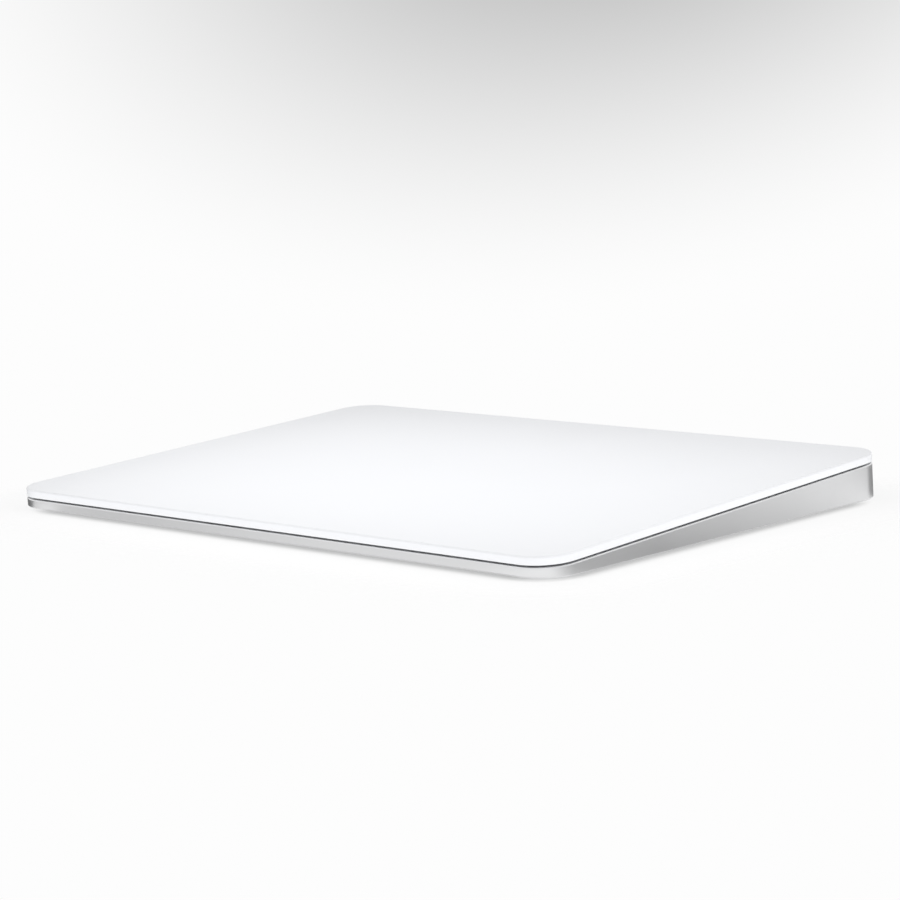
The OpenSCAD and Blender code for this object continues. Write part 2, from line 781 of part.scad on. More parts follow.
module haptic_bracket() {
    end_z1 = core_z + core_h / 2 + bracket_t;
    color("#7f858c") difference() {
        union() {
            sheet(floor_z, bracket_z1) translate([0, drive_y]) rounded(drive_w, drive_d, plate_r);
            for (side = [-1, 1]) on_side(side)
                block([core_x1, drive_y - pole_d / 2, floor_z],
                    [core_x1 + end_block_l, drive_y + pole_d / 2, end_z1]);
        }
        for (side = [-1, 1], row = [-1, 1])
            translate([side * drive_screw_x, drive_y + row * drive_screw_y, bracket_z1])
                screw_hole(2 * bracket_t);
    }
}

module haptic_screws() {
    color("#c8ccd0") for (side = [-1, 1], row = [-1, 1])
        translate([side * drive_screw_x, drive_y + row * drive_screw_y, bracket_z1])
            screw(bracket_t + chassis_t);
}

module haptic_core(side) {
    color("#5d636a") on_side(side)
        block([core_x0, drive_y - pole_d / 2, core_z - core_h / 2],
            [core_x1, drive_y + pole_d / 2, core_z + core_h / 2]);
}

module haptic_coil(side) {
    color("#b5682d") on_side(side) translate([coil_x0, drive_y, core_z])
        rotate([90, 0, 90]) linear_extrude(coil_l) difference() {
            rounded(coil_d, coil_z1 - bracket_z1, coil_r);
            square([pole_d + fit, core_h + fit], center = true);
        }
}

// A T-shaped ribbon from both coils to the plug under the main board
module haptic_flex() {
    ribbon_w = 5;
    ribbon_lap = 2;
    head_y0 = drive_y + coil_d / 2;
    edge_y = drive_y + drive_d / 2;
    color("#b9772f") {
        sheet(bracket_z1, bracket_z1 + film_t) translate([-coil_x0 - ribbon_lap, head_y0])
            square([2 * (coil_x0 + ribbon_lap), edge_y - head_y0 + film_t]);
        block([-ribbon_w / 2, edge_y, floor_z], [ribbon_w / 2, edge_y + film_t, bracket_z1 + film_t]);
        sheet(floor_z, floor_z + film_t) translate([-ribbon_w / 2, edge_y])
            square([ribbon_w, plug_y + plug_d - edge_y]);
    }
}

module battery_cell(side) {
    color("#3c3f44") on_side(side) {
        sheet(cell_z0, cell_z1) rounded_box(cell_x0, cell_y0, cell_x1, cell_y1 - seam_d, cell_r);
        block([cell_x0 + cell_r, cell_y1 - seam_d - cell_r, strip_z1],
            [cell_x1 - cell_r, cell_y1, strip_z1 + seam_t]);
    }
}

module battery_tape() {
    color("#e3dfd2") for (side = [-1, 1]) on_side(side) sheet(floor_z, cell_z0) {
        rounded_box(cell_x0 + cell_r, cell_y0 + cell_r, cell_x1 - cell_r, cell_y1 - seam_d - cell_r, cell_r);
        translate([cell_x0 + cell_r, strip_y0]) square([strip_x - cell_x0 - cell_r, strip_d]);
    }
}

module battery_board() {
    color("#2f6b46") sheet(strip_z0, strip_z1) translate([-strip_x, strip_y0]) square([2 * strip_x, strip_d]);
}

module cell_tabs() {
    color("#d2d4d6") for (side = [-1, 1], x = cell_tab_x) on_side(side)
        sheet(strip_z1, strip_z1 + film_t) translate([x - tab_strip_w / 2, cell_y1])
            square([tab_strip_w, strip_y0 - cell_y1 + strip_d / 2]);
}

// A short ribbon that climbs from the battery board to its plug on the main board
module battery_lead() {
    lead_w = plug_w - 1;
    lead_z1 = board_z1 + plug_h + film_t;
    riser_y = (strip_y1 + board_y0) / 2;
    color("#b9772f") translate([battery_plug_x - lead_w / 2, 0, 0]) {
        block([0, strip_y1 - strip_d / 3, strip_z1], [lead_w, riser_y, strip_z1 + film_t]);
        block([0, riser_y - film_t, strip_z1], [lead_w, riser_y, lead_z1]);
        block([0, riser_y - film_t, lead_z1 - film_t], [lead_w, plug_y + plug_d - fit, lead_z1]);
    }
}

module main_board() {
    notch_x = port_w / 2 + 2 * fit;
    color("#2f6b46") sheet(board_z0, board_z1) difference() {
        rounded_box(-board_w / 2, board_y0, board_w / 2, board_y1, plate_r);
        translate([-notch_x, port_y0 - 2 * fit]) square([2 * notch_x, board_d]);
        for (side = [-1, 1]) {
            translate([side * side_post_x, side_post_y]) circle(d = hole_d);
            translate([side * port_post_x, post_y]) circle(d = hole_d);
        }
    }
}

module board_shield() {
    color("#c5c8cb") difference() {
        sheet(board_z1, board_z1 + shield_h) translate([shield_x0, shield_y0]) square([shield_w, shield_d]);
        sheet(board_z1 - fit, board_z1 + shield_h - shield_t)
            translate([shield_x0 + shield_t, shield_y0 + shield_t])
                square([shield_w - 2 * shield_t, shield_d - 2 * shield_t]);
    }
}

// Two chips under the shield, and the charger with its coil and two capacitors on the other half
module board_chips() {
    row_y = shield_y0 + shield_d / 2;
    color("#26282b") {
        for (chip = can_chips) sheet(board_z1, board_z1 + chip[3])
            translate([shield_x0 + chip[0], row_y]) square([chip[1], chip[2]], center = true);
        for (chip = charger_chips) sheet(board_z1, board_z1 + chip[3])
            translate([board_w / 2 - chip[0], row_y]) square([chip[1], chip[2]], center = true);
    }
}

// Plugs on top for the touch ribbon and the battery, and below for the gauges, the drive and the antenna
module board_connectors() {
    color("#ece7d8") {
        for (plug = [[touch_plug_x, touch_plug_w], [battery_plug_x, plug_w]])
            sheet(board_z1, board_z1 + plug_h)
                translate([plug[0] - plug[1] / 2, plug_y]) square([plug[1], plug_d]);
        for (x = [-side_post_x, -antenna_x, 0, side_post_x])
            sheet(board_z0 - under_plug_h, board_z0)
                translate([x - plug_d, plug_y]) square([2 * plug_d, plug_d]);
    }
}

module board_screws() {
    color("#c8ccd0") {
        for (side = [-1, 1]) {
            translate([side * side_post_x, side_post_y, board_z1]) screw(board_t + post_h);
            translate([side * port_post_x, post_y, board_z1 + saddle_t]) screw(saddle_t + board_t + post_h);
            translate([slot_x + side * switch_post_x, post_y, board_z1]) screw(board_t + post_h);
        }
    }
}

// A flat antenna on the plastic cover in the front bay, with its feed on the chassis
module antenna() {
    feed_w = 1;
    patch_w = 30;
    patch_in = 4;
    patch_end = 6;
    patch_y0 = open_y0 + patch_in;
    patch_y1 = pan_y0 - patch_end;
    step_y = pan_y0 - fit;
    color("#b9772f") translate([-antenna_x, 0, 0]) {
        sheet(cover_top, cover_top + film_t) {
            translate([-patch_w / 2, patch_y0]) square([patch_w, patch_y1 - patch_y0]);
            translate([-feed_w / 2, patch_y1]) square([feed_w, step_y - patch_y1]);
        }
        block([-feed_w / 2, step_y - film_t, cover_top], [feed_w / 2, step_y, floor_z + film_t]);
        sheet(floor_z, floor_z + film_t) translate([-feed_w / 2, step_y - film_t])
            square([feed_w, plug_y + plug_d - step_y + film_t]);
    }
}

// A ribbon in a loop, so that the moving plate pulls on nothing
module touch_flex() {
    ribbon_w = touch_plug_w - 1;
    low_z = board_z1 + plug_h;
    high_z = plate_z(socket_y - socket_d / 2, plate_s + socket_h) - fit;
    loop_r = (high_z - low_z) / 2;
    loop_gap = 1;
    loop_y = plug_y + plug_d + loop_gap;
    color("#b9772f") translate([touch_plug_x - ribbon_w / 2, 0, low_z + loop_r])
        rotate([90, 0, 90]) linear_extrude(ribbon_w) {
            translate([socket_y - socket_d / 2, loop_r - film_t])
                square([loop_y - socket_y + socket_d / 2, film_t]);
            translate([plug_y, -loop_r]) square([loop_y - plug_y, film_t]);
            translate([loop_y, 0]) intersection() {
                difference() {
                    circle(loop_r);
                    circle(loop_r - film_t);
                }
                translate([0, -2 * loop_r]) square(4 * loop_r);
            }
        }
}

module port_shell() {
    leg_x0 = (port_w - port_h) / 2;
    leg_y1 = board_y1 - leg_in;
    color("#b4b8bc") {
        difference() {
            through_rear(0, io_z, port_y0, mouth_y) stadium(port_w, port_h);
            through_rear(0, io_z, port_y0 + port_wall, mouth_y + fit)
                stadium(port_w - 2 * port_wall, port_h - 2 * port_wall);
        }
        for (side = [-1, 1]) on_side(side)
            block([leg_x0, leg_y1 - leg_w, board_z1],
                [port_w / 2 + leg_l, leg_y1, board_z1 + port_wall]);
    }
}

module port_tongue() {
    color("#17181a") {
        through_rear(0, io_z, port_y0 + port_wall, port_y0 + port_wall + tongue_root)
            stadium(port_w - 2 * (port_wall + fit), port_h - 2 * (port_wall + fit));
        block([-tongue_w / 2, port_y0 + port_wall + tongue_root, io_z - tongue_t / 2],
            [tongue_w / 2, tongue_y1, io_z + tongue_t / 2]);
    }
}

module port_contacts() {
    pitch = tongue_w / (contact_count + 1);
    color("#d3ab4d") for (i = [1 : contact_count], side = [-1, 1])
        translate([i * pitch - tongue_w / 2, tongue_y1 - contact_in - contact_l / 2,
            io_z + side * (tongue_t + contact_t) / 2])
                cube([pitch / 2, contact_l, contact_t], center = true);
}

// A saddle over the port, screwed through the main board into the chassis
module port_bracket() {
    inner_x = port_w / 2 + fit;
    outer_x = inner_x + saddle_t;
    top_z = io_z + port_h / 2;
    y0 = post_y - saddle_w / 2;
    y1 = post_y + saddle_w / 2;
    color("#a9aeb4") difference() {
        union() {
            block([-outer_x, y0, top_z], [outer_x, y1, top_z + saddle_t]);
            for (side = [-1, 1]) on_side(side) {
                block([inner_x, y0, board_z1], [outer_x, y1, top_z + saddle_t]);
                block([inner_x, y0, board_z1], [port_post_x + head_d, y1, board_z1 + saddle_t]);
            }
        }
        for (side = [-1, 1])
            translate([side * port_post_x, post_y, board_z1 + saddle_t]) screw_hole(2 * saddle_t);
    }
}

module port_seal() {
    seal_w = 1.4;
    seal_y1 = rear_in - 2 * fit;
    color("#2b2c2e") through_rear(0, io_z, seal_y1 - seal_w, seal_y1) difference() {
        stadium(port_w + 2 * seal_t, port_h + 2 * seal_t);
        stadium(port_w, port_h);
    }
}

// The mark's pocket is in the slider's plate, on the side that shows when the pad is on
module power_slider() {
    color("#d9dadb") translate([slider_x, 0, 0]) {
        difference() {
            through_rear(0, io_z, slider_y0, slider_y1) square([slider_w, slider_h], center = true);
            through_rear(flag_x, io_z, slider_y1 - flag_t, slider_y1 + fit)
                square([flag_w, knob_h], center = true);
        }
        through_rear(0, io_z, slider_y1, rear_y(io_z) - 2 * fit) stadium(knob_w, knob_h);
        for (side = [-1, 1]) on_side(side)
            block([lever_w / 2 + lever_gap, slider_y0 - fork_l, io_z - fork_h / 2],
                [lever_w / 2 + lever_gap + tine_w, slider_y0, io_z + fork_h / 2]);
    }
}

module switch_flag() {
    color("#3fae55") through_rear(slider_x + flag_x, io_z, slider_y1 - flag_t, slider_y1)
        square([flag_w, knob_h], center = true);
}

module switch_lever() {
    color("#17181a") through_rear(slider_x, io_z, lever_y0, lever_y1)
        square([lever_w, lever_h], center = true);
}

module slider_guide() {
    window_w = fork_w + switch_travel + 4 * fit;
    color("#3a3c3f") difference() {
        through_rear(slot_x, io_z, guide_y0, pocket_y) square([2 * guide_out_x, guide_h], center = true);
        through_rear(slot_x, io_z, guide_y1, pocket_y + fit)
            square([2 * guide_in_x, slider_h + 2 * guide_gap], center = true);
        through_rear(slot_x, io_z, guide_y0 - fit, guide_y1 + fit)
            square([window_w, fork_h + 4 * fit], center = true);
        for (side = [-1, 1])
            translate([slot_x + side * guide_screw_x, guide_y0, io_z])
                rotate([90, 0, 0]) screw_hole(2 * wall_t);
    }
}

module guide_screws() {
    color("#c8ccd0") for (side = [-1, 1])
        translate([slot_x + side * guide_screw_x, guide_y0, io_z])
            rotate([90, 0, 0]) screw(guide_screw_l);
}

module switch_body() {
    color("#44474b") difference() {
        through_rear(slot_x, io_z, switch_face_y - switch_d, switch_face_y)
            translate([-switch_w / 2, -io_rise]) square([switch_w, 2 * io_rise]);
        through_rear(slot_x, io_z, lever_y0 - 2 * fit, switch_face_y + fit)
            square([lever_w + switch_travel + 4 * fit, lever_h + 2 * fit], center = true);
    }
}

module switch_board() {
    color("#2f6b46") sheet(board_z0, board_z1) difference() {
        rounded_box(slot_x - switch_board_w / 2, switch_board_y0, slot_x + switch_board_w / 2,
            switch_board_y1, plate_r);
        for (side = [-1, 1]) translate([slot_x + side * switch_post_x, post_y]) circle(d = hole_d);
    }
}

module switch_flex() {
    ribbon_d = 2;
    end_l = 2.4;
    color("#b9772f") sheet(board_z1, board_z1 + film_t)
        translate([board_w / 2 - end_l, switch_board_y1 - ribbon_d - 2 * fit])
            square([slot_x - switch_board_w / 2 - board_w / 2 + 2 * end_l, ribbon_d]);
}

touch_glass();
glass_carrier();
sensor_board();
stiffener_plate();
dust_skirt();
touch_controller();
touch_plug();
haptic_armature();
armature_screws();
gel_pads();
case();
bottom_cover();
cover_adhesive();
foot(-1, -1);  // foot_front_left
foot(1, -1);  // foot_front_right
foot(-1, 1);  // foot_rear_left
foot(1, 1);  // foot_rear_right
flexure(-1, -1);  // flexure_front_left
flexure(1, -1);  // flexure_front_right
flexure(-1, 1);  // flexure_rear_left
flexure(1, 1);  // flexure_rear_right
flexure_screws();
strain_gauges();
gauge_flex();
chassis();
chassis_screws();
haptic_bracket();
haptic_screws();
haptic_core(-1);  // haptic_core_left
haptic_core(1);  // haptic_core_right
haptic_coil(-1);  // haptic_coil_left
haptic_coil(1);  // haptic_coil_right
haptic_flex();
battery_cell(-1);  // battery_cell_left
battery_cell(1);  // battery_cell_right
battery_tape();
battery_board();
cell_tabs();
battery_lead();
main_board();
board_shield();
board_chips();
board_connectors();
board_screws();
antenna();
touch_flex();
port_shell();
port_tongue();
port_contacts();
port_bracket();
port_seal();
power_slider();
switch_flag();
switch_lever();
slider_guide();
guide_screws();
switch_body();
switch_board();
switch_flex();
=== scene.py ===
# %% [markdown]
# A desk trackpad in cells
#
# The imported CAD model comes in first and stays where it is. It is a low wedge of aluminium with a white
# glass plate that floats above it on springs. Blender adds soft edges, rubber, foam and the finishes,
# and then sets the pad on a white table under soft studio light. Everything is in metres, in the CAD's
# own frame: X to the right, Y from the thin front edge to the thick rear edge, Z up from the desk.

# %% Load the frame
import json
import math

import bmesh
import bpy
from mathutils import Matrix, Vector


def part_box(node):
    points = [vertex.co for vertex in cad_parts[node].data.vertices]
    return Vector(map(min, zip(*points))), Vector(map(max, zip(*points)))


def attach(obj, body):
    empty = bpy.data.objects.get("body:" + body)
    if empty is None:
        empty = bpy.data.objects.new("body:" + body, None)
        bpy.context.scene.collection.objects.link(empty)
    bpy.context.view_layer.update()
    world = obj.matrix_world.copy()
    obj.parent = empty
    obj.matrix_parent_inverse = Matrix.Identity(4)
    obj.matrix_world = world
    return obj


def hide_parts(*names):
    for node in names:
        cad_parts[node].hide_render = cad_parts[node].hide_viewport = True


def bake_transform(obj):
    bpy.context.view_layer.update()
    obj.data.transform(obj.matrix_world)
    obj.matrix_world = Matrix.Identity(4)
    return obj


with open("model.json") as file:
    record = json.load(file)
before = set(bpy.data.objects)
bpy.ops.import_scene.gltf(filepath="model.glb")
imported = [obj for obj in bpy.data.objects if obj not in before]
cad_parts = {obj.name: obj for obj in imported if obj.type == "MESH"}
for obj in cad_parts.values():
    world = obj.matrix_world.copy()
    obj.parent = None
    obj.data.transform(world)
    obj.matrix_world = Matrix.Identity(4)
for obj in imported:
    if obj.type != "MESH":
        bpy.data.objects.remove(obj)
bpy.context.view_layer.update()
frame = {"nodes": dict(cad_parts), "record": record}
MM = 0.001

# %% [markdown]
# The slope of the glass
#
# The glass leans 3 degrees, and the plates under it lean with it. It is easiest to model each plate
# lying flat, with its top at a depth below the top of the glass, and to lean the finished mesh by one
# matrix. The matrix turns about X and then lifts the plate to the centre of the glass.

# %% The slope as a matrix
TILT = math.radians(3)
GLASS_CENTRE = Vector((0, -0.27025 * MM, 7.90671 * MM))
LEAN = Matrix.Translation(GLASS_CENTRE) @ Matrix.Rotation(TILT, 4, "X")
print("glass centre in mm:", [round(value / MM, 3) for value in GLASS_CENTRE])

# %% [markdown]
# The camera
#
# The pad is seen from its front right corner, a little above the table, with a long lens. The numbers
# come from matching the four edges of the glass, the dark gap and the lower edge of the metal. A camera
# could be aimed with a Track To constraint, but a matrix also holds the small roll that the picture has.

# %% Make the camera
CAMERA_TURN = 42.816
CAMERA_AZIMUTH, CAMERA_ELEVATION, CAMERA_ROLL = (math.radians(a) for a in (CAMERA_TURN, 8.781, -1.863))
CAMERA_YAW, CAMERA_PITCH = math.radians(-0.2316), math.radians(-0.4045)
CAMERA_DISTANCE, FOCAL_PIXELS, PICTURE_PIXELS, SENSOR_MM = 588.22 * MM, 2631.02, 900, 36
CLIP_NEAR, CLIP_FAR = 0.01, 100


def turned(first, second, angle):
    """Two directions at right angles, turned towards each other."""
    return (first * math.cos(angle) + second * math.sin(angle),
            second * math.cos(angle) - first * math.sin(angle))


out = Vector((math.sin(CAMERA_AZIMUTH) * math.cos(CAMERA_ELEVATION),
              -math.cos(CAMERA_AZIMUTH) * math.cos(CAMERA_ELEVATION), math.sin(CAMERA_ELEVATION)))
right = Vector((math.cos(CAMERA_AZIMUTH), math.sin(CAMERA_AZIMUTH), 0))
up = out.cross(right)
camera_place = GLASS_CENTRE + out * CAMERA_DISTANCE
out, right = turned(out, right, CAMERA_YAW)
out, up = turned(out, up, CAMERA_PITCH)
right, up = turned(right, up, CAMERA_ROLL)

camera = bpy.data.objects.new("camera", bpy.data.cameras.new("camera"))
camera.data.sensor_width = SENSOR_MM
camera.data.lens = FOCAL_PIXELS / PICTURE_PIXELS * SENSOR_MM
camera.data.clip_start, camera.data.clip_end = CLIP_NEAR, CLIP_FAR
camera.matrix_world = Matrix.Translation(camera_place) @ Matrix((right, up, out)).transposed().to_4x4()
bpy.context.scene.collection.objects.link(camera)
bpy.context.scene.camera = camera
print("camera at", [round(value, 3) for value in camera_place], "lens", round(camera.data.lens, 1), "mm")

# %% [markdown]
# Helpers for meshes
#
# Most new pieces are plates with round corners. A cube with its four upright edges bevelled is such a
# plate, and the bevel's segments decide how round a corner looks. A Weighted Normal modifier then keeps
# the large faces flat in shading while the narrow bevels stay soft, which plain smooth shading can't do.

# %% Helpers that make and finish a mesh
CORNER_STEPS = 28
SHARP_ANGLE = math.radians(32)
SAME_HEIGHT, MICRON = 1e-7, 1e-6
LARGE_FACES_LEAD = 100


def bevel(bm, edges, offset, steps):
    return bmesh.ops.bevel(bm, geom=edges, offset=offset, offset_type="OFFSET", segments=steps, profile=0.5,
                           affect="EDGES", material=-1, clamp_overlap=True)


def flat_edges(bm, height):
    """The edges that lie at one height of a plate that is still flat."""
    return [e for e in bm.edges if all(abs(v.co.z - height) < SAME_HEIGHT for v in e.verts)]


def upright_edges(bm):
    """The edges that lead from one height to another."""
    return [e for e in bm.edges if abs(e.verts[0].co.z - e.verts[1].co.z) > MICRON]


def plate(width, depth, corner, low, high):
    """A flat plate with round corners, between two heights."""
    bm = bmesh.new()
    bmesh.ops.create_cube(bm, size=1)
    bmesh.ops.scale(bm, vec=(width, depth, high - low), verts=bm.verts)
    bmesh.ops.translate(bm, vec=(0, 0, (low + high) / 2), verts=bm.verts)
    bevel(bm, upright_edges(bm), corner, CORNER_STEPS)
    return bm


def finish_piece(bm, name, body, slot, nodes):
    """Turns a bmesh into an object that rides on a body and stands for CAD nodes."""
    bmesh.ops.recalc_face_normals(bm, faces=bm.faces)
    mesh = bpy.data.meshes.new(name)
    bm.to_mesh(mesh)
    bm.free()
    if "custom_normal" in mesh.attributes:
        mesh.attributes.remove(mesh.attributes["custom_normal"])
    mesh.shade_smooth()
    mesh.set_sharp_from_angle(angle=SHARP_ANGLE)
    piece = bpy.data.objects.new(name, mesh)
    bpy.context.scene.collection.objects.link(piece)
    weighted = piece.modifiers.new("flat faces stay flat", "WEIGHTED_NORMAL")
    weighted.keep_sharp = True
    weighted.weight = LARGE_FACES_LEAD
    if body:
        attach(piece, body)
    if nodes:
        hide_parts(*nodes)
    pieces[name] = (piece, slot)
    print(name, "has", len(mesh.vertices), "vertices and", len(mesh.polygons), "faces")
    return piece


pieces = {}

# %% [markdown]
# The glass
#
# The touch surface is one sheet of etched glass, white from behind. Its upper edge is ground to a small
# radius, which shows as a fine line all round. A subdivided cage would need support loops to keep the
# faces flat, so the edge is bevelled in eight steps instead. One thin inset loop beside the bevel keeps
# the shading of the large face perfectly flat. The bevel's faces take a second, slightly greyer finish:
# painted shade, which keeps the ground edge from showing lighter than the face.

# %% Model the glass
PAD_WIDTH, PAD_DEPTH, PAD_CORNER = 160 * MM, 114.9 * MM, 7.8 * MM
GLASS_THICK, GLASS_ROUND, HOLDING_LOOP = 1.1 * MM, 0.4 * MM, 0.1 * MM
FLAT_TOP = 0.999
bm = plate(PAD_WIDTH, PAD_DEPTH, PAD_CORNER, -GLASS_THICK, 0)
rounded = bevel(bm, flat_edges(bm, 0), GLASS_ROUND, steps=8)
# The bevel's faces take the second, greyer finish, which is painted shade.
for face in rounded["faces"]:
    face.material_index = 1
top = [f for f in bm.faces if f.normal.z > FLAT_TOP]
bmesh.ops.inset_region(bm, faces=top, thickness=HOLDING_LOOP, use_even_offset=True)
bmesh.ops.transform(bm, matrix=LEAN, verts=bm.verts)
finish_piece(bm, "glass_top", "touch_plate", "glass", ["touch_glass"])

# %% [markdown]
# The white ring and the dust skirt
#
# Under the glass runs a white moulded ring, flush with the glass, whose lower edge is rounded towards
# the dark gap. Behind the gap hangs a ring of grey foam that keeps dust out. Both are frames: the top
# and bottom of a plate are inset, the inner faces are deleted, and the two open loops are bridged to
# make the inner wall.

# %% Model the two rings
RING_LOW, RING_WIDE, RING_ROUND = -1.8 * MM, 4 * MM, 0.1 * MM
SKIRT_LOW, SKIRT_WIDE, SKIRT_ROUND, SKIRT_IN = -2.45 * MM, 1 * MM, 0.25 * MM, 2.6 * MM
LEVEL_FACE, WALL_FACE = 0.9, 0.5


def ring(width, depth, corner, low, high, wide):
    """A frame with round corners, between two heights and with walls of one width."""
    bm = plate(width, depth, corner, low, high)
    caps = [f for f in bm.faces if abs(f.normal.z) > LEVEL_FACE]
    bmesh.ops.inset_individual(bm, faces=caps, thickness=wide, use_even_offset=True)
    bmesh.ops.delete(bm, geom=caps, context="FACES_ONLY")
    bmesh.ops.bridge_loops(bm, edges=[e for e in bm.edges if e.is_boundary])
    return bm


def wall_edges(bm, height, outside_only):
    """The edges at one height that a wall of the ring stands on."""
    bm.normal_update()
    walls = {f for f in bm.faces if abs(f.normal.z) < WALL_FACE
             and (not outside_only or f.normal.dot(f.calc_center_median()) > 0)}
    return [e for e in flat_edges(bm, height) if walls.intersection(e.link_faces)]


bm = ring(PAD_WIDTH, PAD_DEPTH, PAD_CORNER, RING_LOW, -GLASS_THICK, RING_WIDE)
bevel(bm, wall_edges(bm, RING_LOW, outside_only=True), RING_ROUND, steps=7)
bmesh.ops.transform(bm, matrix=LEAN, verts=bm.verts)
finish_piece(bm, "white_ring", "touch_plate", "white_ring", ["glass_carrier"])

bm = ring(PAD_WIDTH - 2 * SKIRT_IN, PAD_DEPTH - 2 * SKIRT_IN, PAD_CORNER - SKIRT_IN, SKIRT_LOW, RING_LOW,
          SKIRT_WIDE)
bevel(bm, wall_edges(bm, SKIRT_LOW, outside_only=False), SKIRT_ROUND, steps=4)
bmesh.ops.transform(bm, matrix=LEAN, verts=bm.verts)
skirt = finish_piece(bm, "foam_skirt", "touch_plate", "dust_skirt", ["dust_skirt"])

# %% [markdown]
# The case and the bottom cover
#
# The case is milled from one block of aluminium, with a port and a slot cut through its rear wall, and
# the cover is a thin plastic moulding. Their solids already have every wall, shelf and hole. What a real
# edge has and a solid lacks is a small break, because edges are deburred before anodising and moulds
# have radii. So a copy of the solid is welded, its flat triangles are dissolved into whole faces, and
# sharp edges are bevelled, by a tenth of a millimetre or a little more: all of them on the cover, and on
# the case only those of the port and the slot at the outer face of the rear wall.

# %% Soften the edges of copied solids
SHARP_EDGE, FLAT_ANGLE = math.radians(40), math.radians(0.2)
CASE_BREAK, COVER_BREAK = 0.15 * MM, 0.12 * MM
REAR_FACE, HOLES_WITHIN, HOLES_LOW, HOLES_HIGH = 56.9 * MM, 60 * MM, 2.5 * MM, 7.5 * MM


def softened(node, radius, steps=2, chosen=None):
    """A welded copy of a CAD node with its sharp edges broken."""
    bm = bmesh.new()
    bm.from_mesh(frame["nodes"][node].data)
    bmesh.ops.remove_doubles(bm, verts=bm.verts, dist=MICRON)
    bmesh.ops.dissolve_limit(bm, angle_limit=FLAT_ANGLE, use_dissolve_boundaries=False,
                             verts=bm.verts, edges=bm.edges)
    sharp = [e for e in bm.edges if len(e.link_faces) == 2 and e.calc_face_angle() > SHARP_EDGE
             and (chosen is None or chosen(e))]
    bevel(bm, sharp, radius, steps)
    return bm


def on_outer_rear(edge):
    """True for the edges of the holes where they meet the outer face of the rear wall."""
    return all(v.co.y > REAR_FACE and abs(v.co.x) < HOLES_WITHIN and HOLES_LOW < v.co.z < HOLES_HIGH
               for v in edge.verts)


bm = softened("case", CASE_BREAK, steps=3, chosen=on_outer_rear)
finish_piece(bm, "case_shell", "base", "case", ["case"])
bm = softened("bottom_cover", COVER_BREAK, steps=3)
finish_piece(bm, "cover_plate", "base", "cover", ["bottom_cover"])

# %% [markdown]
# The feet
#
# Four silicone feet are stuck into round pockets of the cover. A foot is a turned shape, so half of its
# section is drawn once and spun about its own upright axis. The ring of edges that meets the desk is
# then bevelled, as a moulded foot never has a sharp rim, and a shallow groove keeps it from acting as a
# suction cup.

# %% Spin the feet
FOOT_RADIUS, FOOT_ROUND = 6 * MM, 0.25 * MM
FOOT_SECTION = [(0, 0), (3.9, 0), (4.1, 0.15), (4.5, 0.15), (4.7, 0), (6, 0), (6, 0.9), (0, 0.9)]

for row in ("front", "rear"):
    for side in ("left", "right"):
        low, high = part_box(f"foot_{row}_{side}")
        centre = Vector(((low.x + high.x) / 2, (low.y + high.y) / 2, low.z))
        bm = bmesh.new()
        points = [bm.verts.new(centre + Vector((x * MM, 0, z * MM))) for x, z in FOOT_SECTION]
        section = [bm.edges.new(pair) for pair in zip(points, points[1:])]
        bmesh.ops.spin(bm, geom=points + section, cent=centre, axis=(0, 0, 1), dvec=(0, 0, 0),
                       angle=2 * math.pi, steps=64, use_merge=True, use_duplicate=False)
        bmesh.ops.remove_doubles(bm, verts=bm.verts, dist=SAME_HEIGHT)
        rim = [e for e in flat_edges(bm, centre.z)
               if all((v.co - centre).length > FOOT_RADIUS - MICRON for v in e.verts)]
        bevel(bm, rim, FOOT_ROUND, steps=4)
        finish_piece(bm, f"foot_pad_{row}_{side}", "base", "foot", [f"foot_{row}_{side}"])

# %% [markdown]
# The gel pads and the springs
#
# The touch plate stands on four soft pads, and each pad on the tip of a flat steel spring. The pads are
# cubes with round corners and rims, made together in one mesh. The springs are welded copies of their
# solids, cut across the neck at a few places.

# %% Model the gel pads and cut the springs
GEL_SIZE, GEL_HIGH, GEL_LOW = 6 * MM, -2.3 * MM, -2.75 * MM
GEL_CORNER, GEL_ROUND = 1.5 * MM, 0.15 * MM
SPRING_TIP_X, SPRING_ROW_Y, SHELF_X = 57 * MM, 37.95 * MM, 68 * MM
SPRING_BREAK, TIP_REACH, RIBBON_END = 0.04 * MM, 3 * MM, 0.2 * MM
NECK_LONG, NECK_CUTS = SHELF_X - SPRING_TIP_X, (0.3, 0.45, 0.6, 0.75, 0.9)

bm = bmesh.new()
for x in (-SPRING_TIP_X, SPRING_TIP_X):
    for y in (-SPRING_ROW_Y, SPRING_ROW_Y):
        place = Matrix.Translation((x, y, (GEL_HIGH + GEL_LOW) / 2))
        block = Matrix.Diagonal((GEL_SIZE, GEL_SIZE, GEL_HIGH - GEL_LOW, 1))
        bmesh.ops.create_cube(bm, size=1, matrix=place @ block)
bevel(bm, upright_edges(bm), GEL_CORNER, steps=8)
bevel(bm, flat_edges(bm, GEL_LOW) + flat_edges(bm, GEL_HIGH), GEL_ROUND, steps=3)
bmesh.ops.transform(bm, matrix=LEAN, verts=bm.verts)
gel = finish_piece(bm, "gel_cushions", "suspension", "gel", ["gel_pads"])


def bending(node, name, slot, cuts, across):
    """A copy of a thin strip, cut across at some places."""
    bm = softened(node, SPRING_BREAK)
    for cut in cuts:
        everything = bm.verts[:] + bm.edges[:] + bm.faces[:]
        bmesh.ops.bisect_plane(bm, geom=everything, plane_co=cut, plane_no=across)
    piece = finish_piece(bm, name, None, slot, [node])
    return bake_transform(piece)


for row in ("front", "rear"):
    for side, sign in (("left", -1), ("right", 1)):
        low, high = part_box(f"flexure_{row}_{side}")
        neck = [(sign * (SPRING_TIP_X + share * NECK_LONG), 0, 0) for share in NECK_CUTS]
        bending(f"flexure_{row}_{side}", f"spring_{row}_{side}", "spring_steel", neck, (1, 0, 0))

